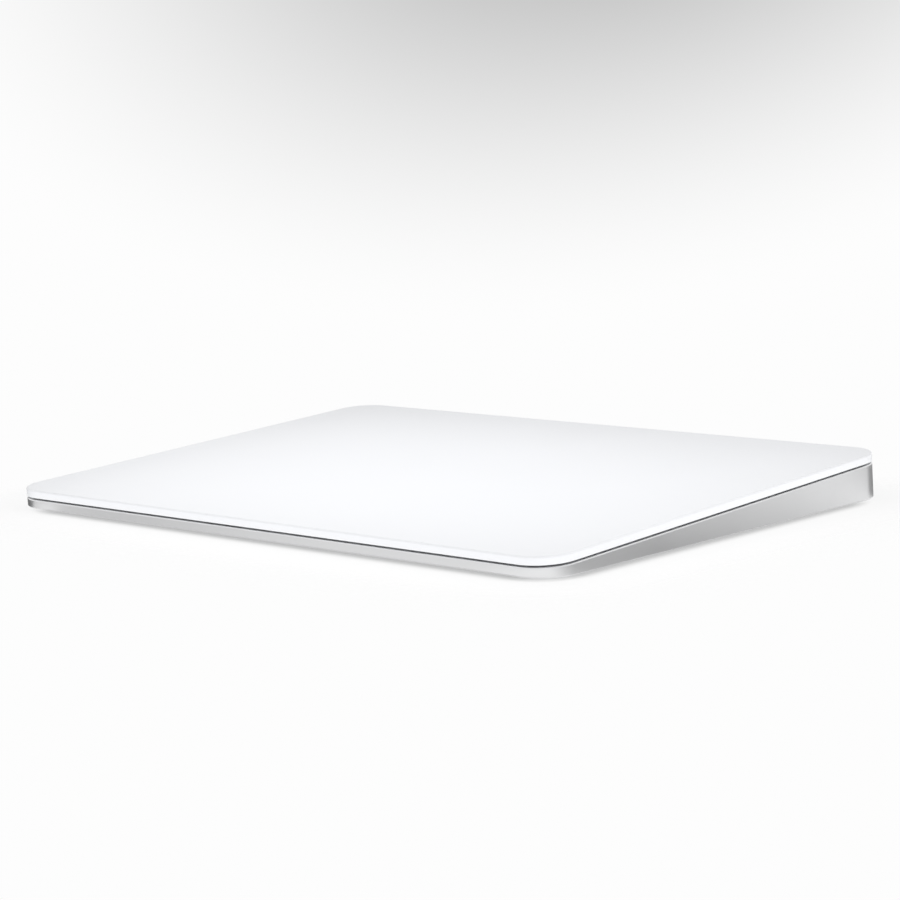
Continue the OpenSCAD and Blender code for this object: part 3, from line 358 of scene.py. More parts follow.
low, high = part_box("touch_flex")
bending("touch_flex", "touch_ribbon", "film", [], (0, 0, 1))

# %% [markdown]
# The power slider and the charging port
#
# At the rear a small metal slider switches the pad on, and an oval steel sleeve takes the charging plug.
# Their shapes come from the solids with softened edges. The slider's knob also gets three ribs for a
# fingernail: short bars with all edges bevelled, sunk a little into the knob so that no gap shows.

# %% Model the slider and the port's sleeve
KNOB_BREAK, SLEEVE_BREAK, GASKET_BREAK = 0.08 * MM, 0.1 * MM, 0.15 * MM
bm = softened("power_slider", KNOB_BREAK, steps=3)
finish_piece(bm, "slider_knob", "power_slider", "slider", ["power_slider"])

RIB_STEP, RIB_SIZE = 1.2 * MM, Vector((0.36, 0.34, 1.4)) * MM
RIB_PROUD, RIB_ROUND = 0.1 * MM, 0.1 * MM
low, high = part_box("power_slider")
lever_low, lever_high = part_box("switch_lever")
knob = Vector(((lever_low.x + lever_high.x) / 2, high.y + RIB_PROUD - RIB_SIZE.y / 2, (low.z + high.z) / 2))
bm = bmesh.new()
for step in (-1, 0, 1):
    place = Matrix.Translation(knob + Vector((step * RIB_STEP, 0, 0)))
    bmesh.ops.create_cube(bm, size=1, matrix=place @ Matrix.Diagonal((*RIB_SIZE, 1)))
bevel(bm, bm.edges[:], RIB_ROUND, steps=3)
finish_piece(bm, "slider_ribs", "power_slider", "slider", [])

low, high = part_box("port_shell")
mouth = high.y - 10 * MICRON
bm = softened("port_shell", SLEEVE_BREAK, 3, lambda edge: all(v.co.y > mouth for v in edge.verts))
finish_piece(bm, "port_sleeve", "base", "port_steel", ["port_shell"])
bm = softened("port_seal", GASKET_BREAK, steps=3)
finish_piece(bm, "port_gasket", "base", "seal", ["port_seal"])

# %% [markdown]
# Effects that several finishes share
#
# Real surfaces are never one flat colour: a tone drifts over a hand's width, fingers leave smoother and
# rougher patches, and the making leaves a grain. Three node groups hold these effects, and every finish
# places them with its own sizes. They read Object coordinates in metres, so a size given in millimetres
# is true on every piece.

# %% Make the shared node groups
def new_group(name, inputs, output, kind):
    """A shader node group with named inputs and one output."""
    group = bpy.data.node_groups.new(name, "ShaderNodeTree")
    for label, socket, value in inputs:
        group.interface.new_socket(label, in_out="INPUT", socket_type=socket).default_value = value
    group.interface.new_socket(output, in_out="OUTPUT", socket_type=kind)
    return group, group.nodes.new("NodeGroupInput"), group.nodes.new("NodeGroupOutput")


def noise_in_metres(group, entry, detail):
    """Noise with features of the Size input, drawn out by the Stretch input."""
    place = group.nodes.new("ShaderNodeTexCoord")
    drawn = group.nodes.new("ShaderNodeVectorMath")
    drawn.operation = "MULTIPLY"
    sized = group.nodes.new("ShaderNodeVectorMath")
    sized.operation = "SCALE"
    inverse = group.nodes.new("ShaderNodeMath")
    inverse.operation = "DIVIDE"
    inverse.inputs[0].default_value = 1
    noise = group.nodes.new("ShaderNodeTexNoise")
    noise.inputs["Scale"].default_value = 1
    noise.inputs["Detail"].default_value = detail
    group.links.new(place.outputs["Object"], drawn.inputs[0])
    group.links.new(entry.outputs["Stretch"], drawn.inputs[1])
    group.links.new(drawn.outputs["Vector"], sized.inputs["Vector"])
    group.links.new(entry.outputs["Size"], inverse.inputs[1])
    group.links.new(inverse.outputs["Value"], sized.inputs["Scale"])
    group.links.new(sized.outputs["Vector"], noise.inputs["Vector"])
    return noise


SIZE_INPUTS = [("Size", "NodeSocketFloat", MM), ("Stretch", "NodeSocketVector", (1, 1, 1))]
TONE_SPREAD, MARK_SPREAD = (0.3, 0.7), (0.35, 0.65)

grain_group, entry, leave = new_group("surface grain", SIZE_INPUTS, "Height", "NodeSocketFloat")
noise = noise_in_metres(grain_group, entry, detail=3)
grain_group.links.new(noise.outputs["Fac"], leave.inputs["Height"])

tone_inputs = [("First", "NodeSocketColor", (1, 1, 1, 1)), ("Second", "NodeSocketColor", (0, 0, 0, 1))]
tone_group, entry, leave = new_group("drifting tone", tone_inputs + SIZE_INPUTS, "Colour",
                                     "NodeSocketColor")
noise = noise_in_metres(tone_group, entry, detail=4)
spread = tone_group.nodes.new("ShaderNodeMapRange")
spread.inputs["From Min"].default_value, spread.inputs["From Max"].default_value = TONE_SPREAD
mix = tone_group.nodes.new("ShaderNodeMix")
mix.data_type = "RGBA"
tone_group.links.new(noise.outputs["Fac"], spread.inputs["Value"])
tone_group.links.new(spread.outputs["Result"], mix.inputs["Factor"])
tone_group.links.new(entry.outputs["First"], mix.inputs["A"])
tone_group.links.new(entry.outputs["Second"], mix.inputs["B"])
tone_group.links.new(mix.outputs["Result"], leave.inputs["Colour"])

marks_inputs = [("Smooth", "NodeSocketFloat", 0.3), ("Rough", "NodeSocketFloat", 0.5)]
marks_group, entry, leave = new_group("handling marks", marks_inputs + SIZE_INPUTS, "Roughness",
                                      "NodeSocketFloat")
noise = noise_in_metres(marks_group, entry, detail=5)
spread = marks_group.nodes.new("ShaderNodeMapRange")
spread.inputs["From Min"].default_value, spread.inputs["From Max"].default_value = MARK_SPREAD
marks_group.links.new(noise.outputs["Fac"], spread.inputs["Value"])
marks_group.links.new(entry.outputs["Smooth"], spread.inputs["To Min"])
marks_group.links.new(entry.outputs["Rough"], spread.inputs["To Max"])
marks_group.links.new(spread.outputs["Result"], leave.inputs["Roughness"])
print("groups:", sorted(group.name for group in bpy.data.node_groups))

# %% [markdown]
# One way to write a finish
#
# A finish is one Principled shader. What is the same all over it, such as how metallic it is, is set on
# the shader's own sockets. What changes over the surface comes from the three groups: two tones that
# drift into each other, a smooth and a rough value for the handled patches, and a grain that goes
# through a Bump node.

# %% A helper that writes a finish
finishes = {}
EVEN, ALONG_X, ALONG_Y = (1, 1, 1), (0.03, 1, 1), (1, 0.03, 1)


def add_effect(material, group, **values):
    """Places a shared group in a material and sets its named inputs."""
    node = material.node_tree.nodes.new("ShaderNodeGroup")
    node.node_tree = group
    for label, value in values.items():
        node.inputs[label].default_value = (*value, 1) if label in ("First", "Second") else value
    return node.outputs[0]


def finish(slot, tones, tone_size, rough, mark_size, grain, depth, stretch=EVEN, **constants):
    """A procedural finish. Sizes are in millimetres, and the grain's depth is in micrometres."""
    material = bpy.data.materials.new(slot)
    material.use_nodes = True
    links = material.node_tree.links
    shader = material.node_tree.nodes["Principled BSDF"]
    for socket, value in constants.items():
        shader.inputs[socket.replace("_", " ").title().replace("Ior", "IOR")].default_value = value
    colour = add_effect(material, tone_group, First=tones[0], Second=tones[1], Size=tone_size * MM)
    links.new(colour, shader.inputs["Base Color"])
    links.new(add_effect(material, marks_group, Smooth=rough[0], Rough=rough[1], Size=mark_size * MM),
              shader.inputs["Roughness"])
    bump = material.node_tree.nodes.new("ShaderNodeBump")
    bump.inputs["Strength"].default_value = 1
    bump.inputs["Distance"].default_value = depth * MICRON
    links.new(add_effect(material, grain_group, Size=grain * MM, Stretch=stretch), bump.inputs["Height"])
    links.new(bump.outputs["Normal"], shader.inputs["Normal"])
    finishes[slot] = material
    return material


def print_over(material, mask, colour):
    """Lays a second colour over a finish's own colour, where a mask is 1."""
    nodes, links = material.node_tree.nodes, material.node_tree.links
    shader = nodes["Principled BSDF"]
    under = shader.inputs["Base Color"].links[0].from_socket
    mix = nodes.new("ShaderNodeMix")
    mix.data_type = "RGBA"
    links.new(mask, mix.inputs["Factor"])
    links.new(under, mix.inputs["A"])
    mix.inputs["B"].default_value = (*colour, 1)
    links.new(mix.outputs["Result"], shader.inputs["Base Color"])


# %% [markdown]
# Glass, white plastic and aluminium
#
# The glass is etched, so it is smooth to a finger but blurs what it reflects, and it is white because of
# a print on its back: a white base under a clear gloss gives the same look without tracing light through
# the sheet. The ring is moulded in the same white. The aluminium is blasted with fine beads and
# anodised: a fully metallic shader with a grain of a tenth of a millimetre.

# %% Finishes that the eye meets first
finish("glass", tones=((0.896, 0.907, 0.934), (0.906, 0.916, 0.941)), tone_size=60,
       rough=(0.285, 0.335), mark_size=18, grain=0.09, depth=0.06, ior=1.5)
# A greyer copy of the glass finish for the ground edge: painted shade.
finish("glass_edge", tones=((0.845, 0.855, 0.877), (0.86, 0.869, 0.89)), tone_size=60,
       rough=(0.32, 0.38), mark_size=18, grain=0.09, depth=0.06, ior=1.5)
finish("white_ring", tones=((0.896, 0.909, 0.93), (0.909, 0.92, 0.94)), tone_size=12,
       rough=(0.36, 0.44), mark_size=6, grain=0.06, depth=0.5, ior=1.5)
finish("case", tones=((0.80, 0.803, 0.81), (0.825, 0.828, 0.834)), tone_size=22, rough=(0.36, 0.42),
       mark_size=15, grain=0.12, depth=1.5, metallic=1)
finish("slider", tones=((0.78, 0.785, 0.79), (0.82, 0.825, 0.83)), tone_size=3, rough=(0.30, 0.38),
       mark_size=2, grain=0.08, depth=1.0, metallic=1)
finish("cover", tones=((0.78, 0.785, 0.79), (0.81, 0.815, 0.82)), tone_size=25, rough=(0.48, 0.58),
       mark_size=20, grain=0.35, depth=12, ior=1.5)
print("finishes so far:", sorted(finishes))

# %% [markdown]
# Rubber, foam, gel and plastics
#
# Soft pieces and small mouldings differ mostly in tone, gloss and grain. Foam has open cells, silicone
# picks up dust and gets a dull bloom, and a moulding has the fine texture of its mould.

# %% Soft and moulded finishes
finish("dust_skirt", tones=((0.24, 0.24, 0.25), (0.32, 0.32, 0.33)), tone_size=0.5, rough=(0.82, 0.95),
       mark_size=2, grain=0.22, depth=60)
finish("foot", tones=((0.58, 0.59, 0.60), (0.65, 0.655, 0.66)), tone_size=4, rough=(0.52, 0.72),
       mark_size=3, grain=0.18, depth=8)
finish("gel", tones=((0.66, 0.70, 0.73), (0.74, 0.77, 0.80)), tone_size=3, rough=(0.18, 0.34),
       mark_size=2, grain=0.6, depth=10, ior=1.41, transmission_weight=0.35)
finish("seal", tones=((0.022, 0.022, 0.024), (0.04, 0.04, 0.042)), tone_size=1.5, rough=(0.5, 0.68),
       mark_size=1.5, grain=0.1, depth=4)
finish("chip", tones=((0.026, 0.026, 0.03), (0.042, 0.042, 0.046)), tone_size=2, rough=(0.42, 0.56),
       mark_size=3, grain=0.07, depth=3)
finish("connector", tones=((0.76, 0.72, 0.62), (0.82, 0.78, 0.68)), tone_size=3, rough=(0.38, 0.5),
       mark_size=2, grain=0.09, depth=2)
finish("black_plastic", tones=((0.012, 0.012, 0.014), (0.022, 0.022, 0.024)), tone_size=3,
       rough=(0.36, 0.5), mark_size=2, grain=0.1, depth=3)
finish("adhesive", tones=((0.045, 0.045, 0.05), (0.075, 0.075, 0.08)), tone_size=4, rough=(0.6, 0.8),
       mark_size=5, grain=0.3, depth=10)
finish("tape", tones=((0.72, 0.69, 0.60), (0.80, 0.77, 0.68)), tone_size=5, rough=(0.5, 0.7),
       mark_size=4, grain=0.25, depth=8, stretch=ALONG_Y)
finish("flag", tones=((0.045, 0.36, 0.09), (0.07, 0.45, 0.13)), tone_size=0.8, rough=(0.45, 0.6),
       mark_size=1, grain=0.08, depth=2)
finish("cell", tones=((0.075, 0.08, 0.085), (0.11, 0.115, 0.12)), tone_size=14, rough=(0.32, 0.5),
       mark_size=8, grain=2.5, depth=40, metallic=0.6)
print("soft and moulded finishes done:", len(finishes))

# %% [markdown]
# Steels, copper and gold
#
# Sheet metal is rolled, so its grain runs one way: the same noise is drawn out thirty times along the
# sheet. Enamelled copper is darker and smoother than bare copper, and plated contacts are bright with a
# trace of wear.

# %% Metals inside the pad
SHEET_METALS = {
    "stiffener": (((0.58, 0.59, 0.61), (0.64, 0.65, 0.67)), (0.3, 0.42), 1.5, ALONG_X),
    "drive_steel": (((0.26, 0.27, 0.29), (0.34, 0.35, 0.37)), (0.32, 0.48), 2, ALONG_Y),
    "spring_steel": (((0.42, 0.44, 0.46), (0.5, 0.52, 0.54)), (0.2, 0.32), 1, ALONG_X),
    "chassis": (((0.39, 0.41, 0.43), (0.46, 0.48, 0.5)), (0.28, 0.42), 2, ALONG_X),
    "shield": (((0.56, 0.57, 0.59), (0.65, 0.66, 0.68)), (0.26, 0.4), 1.5, ALONG_X),
    "nickel": (((0.62, 0.63, 0.63), (0.69, 0.69, 0.68)), (0.14, 0.26), 1, ALONG_Y),
    "port_steel": (((0.47, 0.48, 0.5), (0.54, 0.55, 0.57)), (0.285, 0.37), 1, ALONG_Y),
    "screw": (((0.56, 0.57, 0.59), (0.64, 0.65, 0.67)), (0.2, 0.36), 1, EVEN),
}
for slot, (tones, rough, depth, stretch) in SHEET_METALS.items():
    finish(slot, tones=tones, tone_size=6, rough=rough, mark_size=4, grain=0.12, depth=depth,
           stretch=stretch, metallic=1)
finish("copper", tones=((0.5, 0.19, 0.06), (0.66, 0.3, 0.12)), tone_size=1.5, rough=(0.22, 0.36),
       mark_size=1.5, grain=0.14, depth=30, stretch=ALONG_Y, metallic=1)
finish("gold", tones=((0.7, 0.46, 0.16), (0.8, 0.55, 0.22)), tone_size=0.6, rough=(0.16, 0.32),
       mark_size=0.4, grain=0.05, depth=0.5, stretch=ALONG_Y, metallic=1)
print("metals done:", len(finishes))

# %% [markdown]
# Circuit boards and films
#
# Boards and flat films carry copper tracks under a coloured coat. A Wave texture is a quick way to draw
# parallel tracks, and a Voronoi texture gives the round vias. Both could be modelled, but at a tenth of
# a millimetre they are far below what the eye resolves on the whole pad.

# %% Printed tracks on boards and films
TRACK_PITCH, TRACK_BLUR, VIA_STEP, VIA_RADIUS, VIA_BLUR = 0.9 * MM, 0.08, 2.2 * MM, 0.22, 0.05
BOARD_TRACK, VIA_GOLD, FILM_TRACK = (0.05, 0.23, 0.09), (0.62, 0.48, 0.2), (0.62, 0.31, 0.12)
WAVES_PER_UNIT = 20 / (2 * math.pi)


def track_mask(material, pitch, direction, width):
    """A mask that is 1 on parallel tracks."""
    nodes, links = material.node_tree.nodes, material.node_tree.links
    place = nodes.new("ShaderNodeTexCoord")
    wave = nodes.new("ShaderNodeTexWave")
    wave.bands_direction = direction
    wave.inputs["Scale"].default_value = 1 / (WAVES_PER_UNIT * pitch)
    edge = nodes.new("ShaderNodeMapRange")
    edge.inputs["From Min"].default_value = 1 - width
    edge.inputs["From Max"].default_value = 1 + TRACK_BLUR - width
    links.new(place.outputs["Object"], wave.inputs["Vector"])
    links.new(wave.outputs["Fac"], edge.inputs["Value"])
    return edge.outputs["Result"]


def via_mask(material):
    """A mask that is 1 on scattered round dots."""
    nodes, links = material.node_tree.nodes, material.node_tree.links
    place = nodes.new("ShaderNodeTexCoord")
    cells = nodes.new("ShaderNodeTexVoronoi")
    cells.inputs["Scale"].default_value = 1 / VIA_STEP
    dot = nodes.new("ShaderNodeMapRange")
    dot.inputs["From Min"].default_value = VIA_RADIUS
    dot.inputs["From Max"].default_value = VIA_RADIUS - VIA_BLUR
    links.new(place.outputs["Object"], cells.inputs["Vector"])
    links.new(cells.outputs["Distance"], dot.inputs["Value"])
    return dot.outputs["Result"]


board = finish("board", tones=((0.02, 0.12, 0.05), (0.035, 0.17, 0.075)), tone_size=8,
               rough=(0.28, 0.42), mark_size=6, grain=0.4, depth=6)
print_over(board, track_mask(board, TRACK_PITCH, "X", width=0.35), BOARD_TRACK)
print_over(board, via_mask(board), VIA_GOLD)
for slot, direction in (("film", "X"), ("film_across", "Y")):
    film = finish(slot, tones=((0.4, 0.19, 0.05), (0.48, 0.24, 0.07)), tone_size=5, rough=(0.24, 0.38),
                  mark_size=4, grain=0.3, depth=3)
    print_over(film, track_mask(film, TRACK_PITCH, direction, width=0.45), FILM_TRACK)
print("finishes:", len(finishes))

# %% [markdown]
# Dress every piece
#
# The record says which finish each CAD node has. New pieces carry the same slot names, so one loop
# dresses both. A film that is longer across the pad gets the tracks that run that way.

# %% Give each piece and each node its finish
for piece, slot in pieces.values():
    piece.data.materials.append(finishes[slot])
# The glass's second finish, for the bevel, is painted shade.
pieces["glass_top"][0].data.materials.append(finishes["glass_edge"])
for part in frame["record"]["subparts"]:
    low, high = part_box(part["node"])
    runs_across = part["material_slot"] == "film" and high.x - low.x > high.y - low.y
    material = finishes["film_across" if runs_across else part["material_slot"]]
    for slot in frame["nodes"][part["node"]].material_slots:
        slot.material = material

# %% [markdown]
# The table
#
# The pad lies on a white light table, as in a product studio. Its glow has two levels. The camera and
# the reflections see one that is white in the picture, and weaker beside and under the pad: a painted
# contact shadow, on top of the real shadow that the table's matt colour catches. The other one shines on
# the pad as a white floor would, and a little less under it. Both follow the distance from an outline
# like the pad's, drawn a little wider at the front and right, so they stay in place from every side.
# Towards its rim the table fades out into the white room, and from below it is clear, so the underside
# can be looked at too. A plain plane under stronger lamps would be white as well, but they would bleach
# the pad.

# %% Make the table
TABLE_RADIUS, TABLE_FADE = 0.3, (1 * MM, 30 * MM)
TABLE_SHADE, TABLE_DIM = (-5.4 * MM, 1.1 * MM), (-11 * MM, 0)
SHADE_SHIFT, SHADE_CORNER = Vector((0.68, -0.733, 0)) * MM, 13.5 * MM
# The seen glow runs from a painted contact shadow under the pad to white outside it.
SEEN_GLOW_AND_PAINTED_SHADOW, TABLE_LIGHT, TABLE_COLOUR = (0.22, 0.755), (0.68, 1.02), (0.25, 0.25, 0.25)


def seen_rays(nodes, links):
    """A mask that is 1 for camera rays, in reflections and through clear things."""
    path = nodes.new("ShaderNodeLightPath")
    mask = path.outputs["Is Camera Ray"]
    for name in ("Is Glossy Ray", "Is Transmission Ray"):
        larger = nodes.new("ShaderNodeMath")
        larger.operation = "MAXIMUM"
        links.new(mask, larger.inputs[0])
        links.new(path.outputs[name], larger.inputs[1])
        mask = larger.outputs["Value"]
    return mask


bm = bmesh.new()
bmesh.ops.create_circle(bm, cap_ends=True, segments=96, radius=TABLE_RADIUS)
mesh = bpy.data.meshes.new("table")
bm.to_mesh(mesh)
bm.free()
table = bpy.data.objects.new("table", mesh)
bpy.context.scene.collection.objects.link(table)

material = bpy.data.materials.new("white_table")
material.use_nodes = True
nodes, links = material.node_tree.nodes, material.node_tree.links
nodes.remove(nodes["Principled BSDF"])
matt = nodes.new("ShaderNodeBsdfDiffuse")
matt.inputs["Color"].default_value = (*TABLE_COLOUR, 1)
glow = nodes.new("ShaderNodeEmission")
seen = seen_rays(nodes, links)
level = nodes.new("ShaderNodeMix")
links.new(seen, level.inputs["Factor"])
links.new(level.outputs["Result"], glow.inputs["Strength"])
both = nodes.new("ShaderNodeAddShader")
clear = nodes.new("ShaderNodeBsdfTransparent")
place = nodes.new("ShaderNodeTexCoord")
spread = place.outputs["Object"]
core = (PAD_WIDTH / 2 + SHADE_SHIFT.x - SHADE_CORNER, PAD_DEPTH / 2 - SHADE_SHIFT.y - SHADE_CORNER, 0)
outline_steps = [("SUBTRACT", SHADE_SHIFT), ("ABSOLUTE", None), ("SUBTRACT", core), ("MAXIMUM", (0, 0, 0))]
for operation, values in outline_steps:
    step = nodes.new("ShaderNodeVectorMath")
    step.operation = operation
    links.new(spread, step.inputs[0])
    if values:
        step.inputs[1].default_value = values
    spread = step.outputs["Vector"]
distance = nodes.new("ShaderNodeVectorMath")
distance.operation = "LENGTH"
links.new(spread, distance.inputs[0])


def by_distance(reach, values):
    """A value that changes with the distance from the outline, from one reach to the other."""
    change = nodes.new("ShaderNodeMapRange")
    change.interpolation_type = "SMOOTHSTEP"
    change.inputs["From Min"].default_value = SHADE_CORNER + reach[0]
    change.inputs["From Max"].default_value = SHADE_CORNER + reach[1]
    change.inputs["To Min"].default_value, change.inputs["To Max"].default_value = values
    links.new(distance.outputs["Value"], change.inputs["Value"])
    return change.outputs["Result"]


links.new(by_distance(TABLE_DIM, TABLE_LIGHT), level.inputs["A"])
# The glow that the camera and reflections see is dimmer near and under the pad: a painted contact shadow.
links.new(by_distance(TABLE_SHADE, SEEN_GLOW_AND_PAINTED_SHADOW), level.inputs["B"])
side = nodes.new("ShaderNodeNewGeometry")
faded = nodes.new("ShaderNodeMath")
faded.operation = "MULTIPLY"
unseen = nodes.new("ShaderNodeMath")
unseen.operation = "MAXIMUM"
whole = nodes.new("ShaderNodeMixShader")
links.new(by_distance(TABLE_FADE, (0, 1)), faded.inputs[0])
links.new(seen, faded.inputs[1])
links.new(faded.outputs["Value"], unseen.inputs[0])
links.new(side.outputs["Backfacing"], unseen.inputs[1])
links.new(matt.outputs["BSDF"], both.inputs[0])
links.new(glow.outputs["Emission"], both.inputs[1])
links.new(unseen.outputs["Value"], whole.inputs["Fac"])
links.new(both.outputs["Shader"], whole.inputs[1])
links.new(clear.outputs["BSDF"], whole.inputs[2])
links.new(whole.outputs["Shader"], nodes["Material Output"].inputs["Surface"])
mesh.materials.append(material)
print("table radius in m:", TABLE_RADIUS)

# %% [markdown]
# The glowing card and two flags: painted reflections
#
# Metal shows what lies around it, so a photographer lays a card beside it and lets the card run from
# light to dark. Here the card is a frame round the pad that only reflections see, and it glows with its
# tone instead of being lit, so what the metal shows of it is a painted reflection. Its tone follows the
# direction from the middle of the pad, given as angles and tones, so each side of the case shows a
# painted gradient and each corner a painted highlight line. Two small dark flags, which glow faintly in
# the same way, stand upright near the front left and the rear right corner, and draw the dark stripes
# there as painted reflections. Painting the tones on the metal would be simpler, but they would be wrong
# from every other side.

# %% Lay the glowing card and stand the flags for painted reflections
CARD_WIDE, CARD_THICK = 80 * MM, 0.02 * MM
# Glow of the card by angle, a painted reflection: a painted gradient on each side and a painted highlight
# line at each corner.
PAINTED_REFLECTION_TONES = [(-180, 0.72), (-168, 0.5), (-156, 0.2), (-150, 0.12), (-143, 0.12), (-141.5, 1.0),
              (-139.5, 1.0), (-138, 0.66), (-125, 0.64), (-90, 0.79), (-55, 0.83), (-46, 0.86), (-41, 1.0),
              (-34, 1.0), (-30.5, 0.66), (-26.5, 0.38), (-20, 0.37), (-12, 0.34), (8, 0.52), (20, 0.66),
              (31, 0.88), (35, 1.0), (38, 0.9), (41, 0.35), (45, 0.12), (52, 0.2),
              (70, 0.45), (95, 0.72), (120, 0.82), (150, 0.85)]
# Glow of the two dark flags, painted dark reflections.
PAINTED_DARK_REFLECTION_TONES = [(-157, 0.1), (36, 0.27)]
FLAGS = [(Vector((-112, -48, 5)) * MM, (70 * MM, 10 * MM), math.radians(90)),
         (Vector((80.5, 59.5, 4)) * MM, (8.2 * MM, 8 * MM), 0)]


def reflected(bm, name, tones):
    """An object that only reflections see. It glows with a tone that follows the angle about the middle of
    the pad: a painted reflection.
    """
    mesh = bpy.data.meshes.new(name)
    bm.to_mesh(mesh)
    bm.free()
    card = bpy.data.objects.new(name, mesh)
    card.visible_camera = False
    card.visible_diffuse = False
    card.visible_transmission = False
    card.visible_shadow = False
    bpy.context.scene.collection.objects.link(card)
    material = bpy.data.materials.new(name)
    material.use_nodes = True
    nodes, links = material.node_tree.nodes, material.node_tree.links
    nodes.remove(nodes["Principled BSDF"])
    angle = nodes.new("ShaderNodeTexGradient")
    angle.gradient_type = "RADIAL"
    ramp = nodes.new("ShaderNodeValToRGB")
    for degrees, tone in tones:
        stop = ramp.color_ramp.elements.new(degrees / 360 + 0.5)
        stop.color = (tone, tone, tone, 1)
    for end in (ramp.color_ramp.elements[0], ramp.color_ramp.elements[-1]):
        end.color = (tones[0][1],) * 3 + (1,)
    # After a bounce off a matt surface the glow is plain white, so only direct reflections show the painted
    # tones.
    plain = nodes.new("ShaderNodeMath")
    plain.use_clamp = True
    glow = nodes.new("ShaderNodeEmission")
    links.new(nodes.new("ShaderNodeTexCoord").outputs["Object"], angle.inputs["Vector"])
    links.new(angle.outputs["Fac"], ramp.inputs["Fac"])
    links.new(ramp.outputs["Color"], plain.inputs[0])
    links.new(nodes.new("ShaderNodeLightPath").outputs["Diffuse Depth"], plain.inputs[1])
    links.new(plain.outputs["Value"], glow.inputs["Strength"])
    links.new(glow.outputs["Emission"], nodes["Material Output"].inputs["Surface"])
    mesh.materials.append(material)
    print(name, "has", len(mesh.polygons), "faces and", len(tones), "tones")


bm = ring(PAD_WIDTH + 2 * CARD_WIDE, PAD_DEPTH + 2 * CARD_WIDE, PAD_CORNER + CARD_WIDE, 0, CARD_THICK,
          CARD_WIDE)
bmesh.ops.recalc_face_normals(bm, faces=bm.faces)
reflected(bm, "painted_reflection_card", PAINTED_REFLECTION_TONES)
bm = bmesh.new()
for place, size, turn in FLAGS:
    upright = Matrix.Rotation(turn, 4, "Z") @ Matrix.Rotation(math.radians(90), 4, "X")
    bmesh.ops.create_grid(bm, x_segments=1, y_segments=1, size=0.5,
                          matrix=Matrix.Translation(place) @ upright @ Matrix.Diagonal((*size, 1, 1)))
reflected(bm, "painted_dark_reflection_flags", PAINTED_DARK_REFLECTION_TONES)

# %% [markdown]
# The white room
#
# The room is white all round, with one soft grey pool behind the pad, a little above the horizon. The
# camera and the reflections see it as it is, while the light that falls on the pad comes from a plain
# even white. The pool is worked out from the direction of each ray: how far it lies to the side of the
# pool's middle, and how far above it.

# %% Make the world
ROOM_WHITE, ROOM_LIGHT = 0.982, 0.58
POOL_TONE, POOL_AZIMUTH, POOL_HEIGHT = 0.44, math.radians(CAMERA_TURN - 4.05), math.radians(5)
POOL_WIDE, POOL_TALL, POOL_LEAN, POOL_STRETCH = math.radians(16), math.radians(10.7), 0.25, 0.7
BEHIND_FADE = 0.1

world = bpy.data.worlds.new("white room")
bpy.context.scene.world = world
world.use_nodes = True
nodes, links = world.node_tree.nodes, world.node_tree.links
nodes.clear()
ahead = Vector((-math.sin(POOL_AZIMUTH), math.cos(POOL_AZIMUTH), 0))
direction = nodes.new("ShaderNodeTexCoord").outputs["Generated"]


def along(axis, offset, scale):
    """How far a ray points along an axis, from an offset and in units of a scale."""
    dot = nodes.new("ShaderNodeVectorMath")
    dot.operation = "DOT_PRODUCT"
    dot.inputs[1].default_value = axis
    shifted = nodes.new("ShaderNodeMath")
    shifted.operation = "MULTIPLY_ADD"
    shifted.inputs[1].default_value = 1 / scale
    shifted.inputs[2].default_value = -offset / scale
    links.new(direction, dot.inputs[0])
    links.new(dot.outputs["Value"], shifted.inputs[0])
    return shifted.outputs["Value"]


sideways = along((ahead.y, -ahead.x, -POOL_LEAN), -POOL_LEAN * math.sin(POOL_HEIGHT), math.sin(POOL_WIDE))
above = along((0, 0, 1), math.sin(POOL_HEIGHT), math.sin(POOL_TALL))
longer = along((0, 0, 1), math.sin(POOL_HEIGHT), math.sin(POOL_TALL) / POOL_STRETCH)
upward = nodes.new("ShaderNodeMath")
upward.operation = "MINIMUM"
links.new(above, upward.inputs[0])
links.new(longer, upward.inputs[1])
behind = nodes.new("ShaderNodeMath")
behind.operation = "MINIMUM"
behind.inputs[1].default_value = 0
links.new(along(ahead, 0, BEHIND_FADE), behind.inputs[0])
offset = nodes.new("ShaderNodeCombineXYZ")
links.new(sideways, offset.inputs["X"])
links.new(upward.outputs["Value"], offset.inputs["Y"])
links.new(behind.outputs["Value"], offset.inputs["Z"])
reach = nodes.new("ShaderNodeVectorMath")
reach.operation = "LENGTH"
links.new(offset.outputs["Vector"], reach.inputs[0])
tone = nodes.new("ShaderNodeMapRange")
tone.interpolation_type = "SMOOTHSTEP"
tone.inputs["To Min"].default_value, tone.inputs["To Max"].default_value = POOL_TONE, ROOM_WHITE
links.new(reach.outputs["Value"], tone.inputs["Value"])

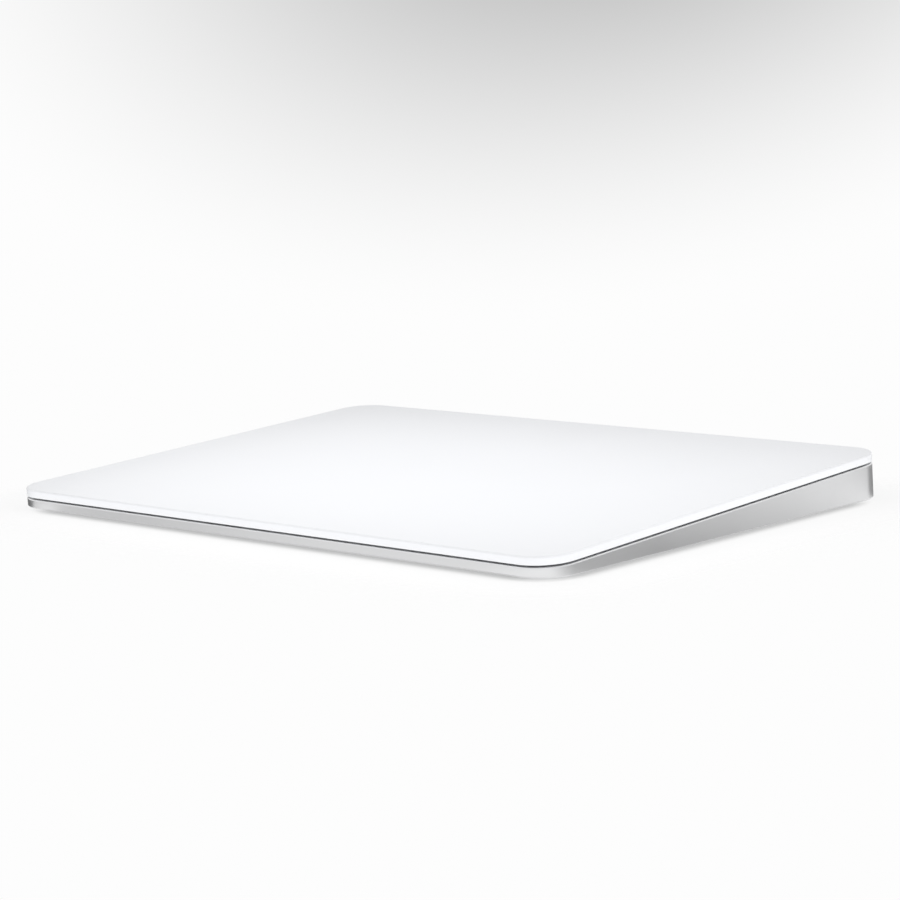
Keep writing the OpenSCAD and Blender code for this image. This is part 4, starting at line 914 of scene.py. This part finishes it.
seen = nodes.new("ShaderNodeBackground")
seen.inputs["Color"].default_value = (1, 1, 1, 1)
links.new(tone.outputs["Result"], seen.inputs["Strength"])
light = nodes.new("ShaderNodeBackground")
light.inputs["Color"].default_value = (1, 1, 1, 1)
light.inputs["Strength"].default_value = ROOM_LIGHT
choose = nodes.new("ShaderNodeMixShader")
links.new(seen_rays(nodes, links), choose.inputs["Fac"])
links.new(light.outputs["Background"], choose.inputs[1])
links.new(seen.outputs["Background"], choose.inputs[2])
links.new(choose.outputs["Shader"], nodes.new("ShaderNodeOutputWorld").inputs["Surface"])
print("world made, room white", ROOM_WHITE)

# %% [markdown]
# The lamps
#
# One soft box hangs low over the glass and parallel to it, and three larger ones stand in front, to the
# right and to the left. All are kept out of reflections, so they leave no hot spot. Together with the
# white room they light a white card to about its own colour, a little less towards the rim of the glass.
# Their power is worked out from the brightness that their face should have, which is easier to judge
# than watts.

# %% Hang the soft boxes
TOP_PLACE, TOP_SIZE, TOP_BRIGHTNESS = (15.3 * MM, -15 * MM, 45 * MM), (188 * MM, 133 * MM), 0.575
STANDING_BOXES = {
    "front_box": ((-0.2, -1.3, 0.3), (1.0, 1.0), 0.8),
    "side_box": ((1.3, 0.3, 0.3), (1.0, 1.0), 1.4),
    "left_box": ((-1.3, -0.2, 0.2), (0.8, 0.4), 1.6),
}


def soft_box(name, stand, size, brightness):
    """A rectangular area lamp that shines along the downward axis of its stand."""
    lamp = bpy.data.lights.new(name, "AREA")
    lamp.shape = "RECTANGLE"
    lamp.size, lamp.size_y = size
    lamp.energy = brightness * math.pi * size[0] * size[1]
    box = bpy.data.objects.new(name, lamp)
    box.matrix_world = stand
    box.visible_camera = False
    box.visible_glossy = False
    bpy.context.scene.collection.objects.link(box)
    print(name, "gives", round(lamp.energy, 2), "W")


def aimed(place):
    """A stand at a place, turned so that its lamp shines at the pad."""
    return Matrix.Translation(place) @ Vector(place).to_track_quat("Z", "Y").to_matrix().to_4x4()


soft_box("top_box", LEAN @ Matrix.Translation(TOP_PLACE), TOP_SIZE, TOP_BRIGHTNESS)
for name, (place, size, brightness) in STANDING_BOXES.items():
    soft_box(name, aimed(place), size, brightness)

# %% [markdown]
# The last lines
#
# The picture keeps the Standard view, so a colour comes out as it is written.

# %% Keep the Standard view
bpy.context.scene.view_settings.view_transform = "Standard"
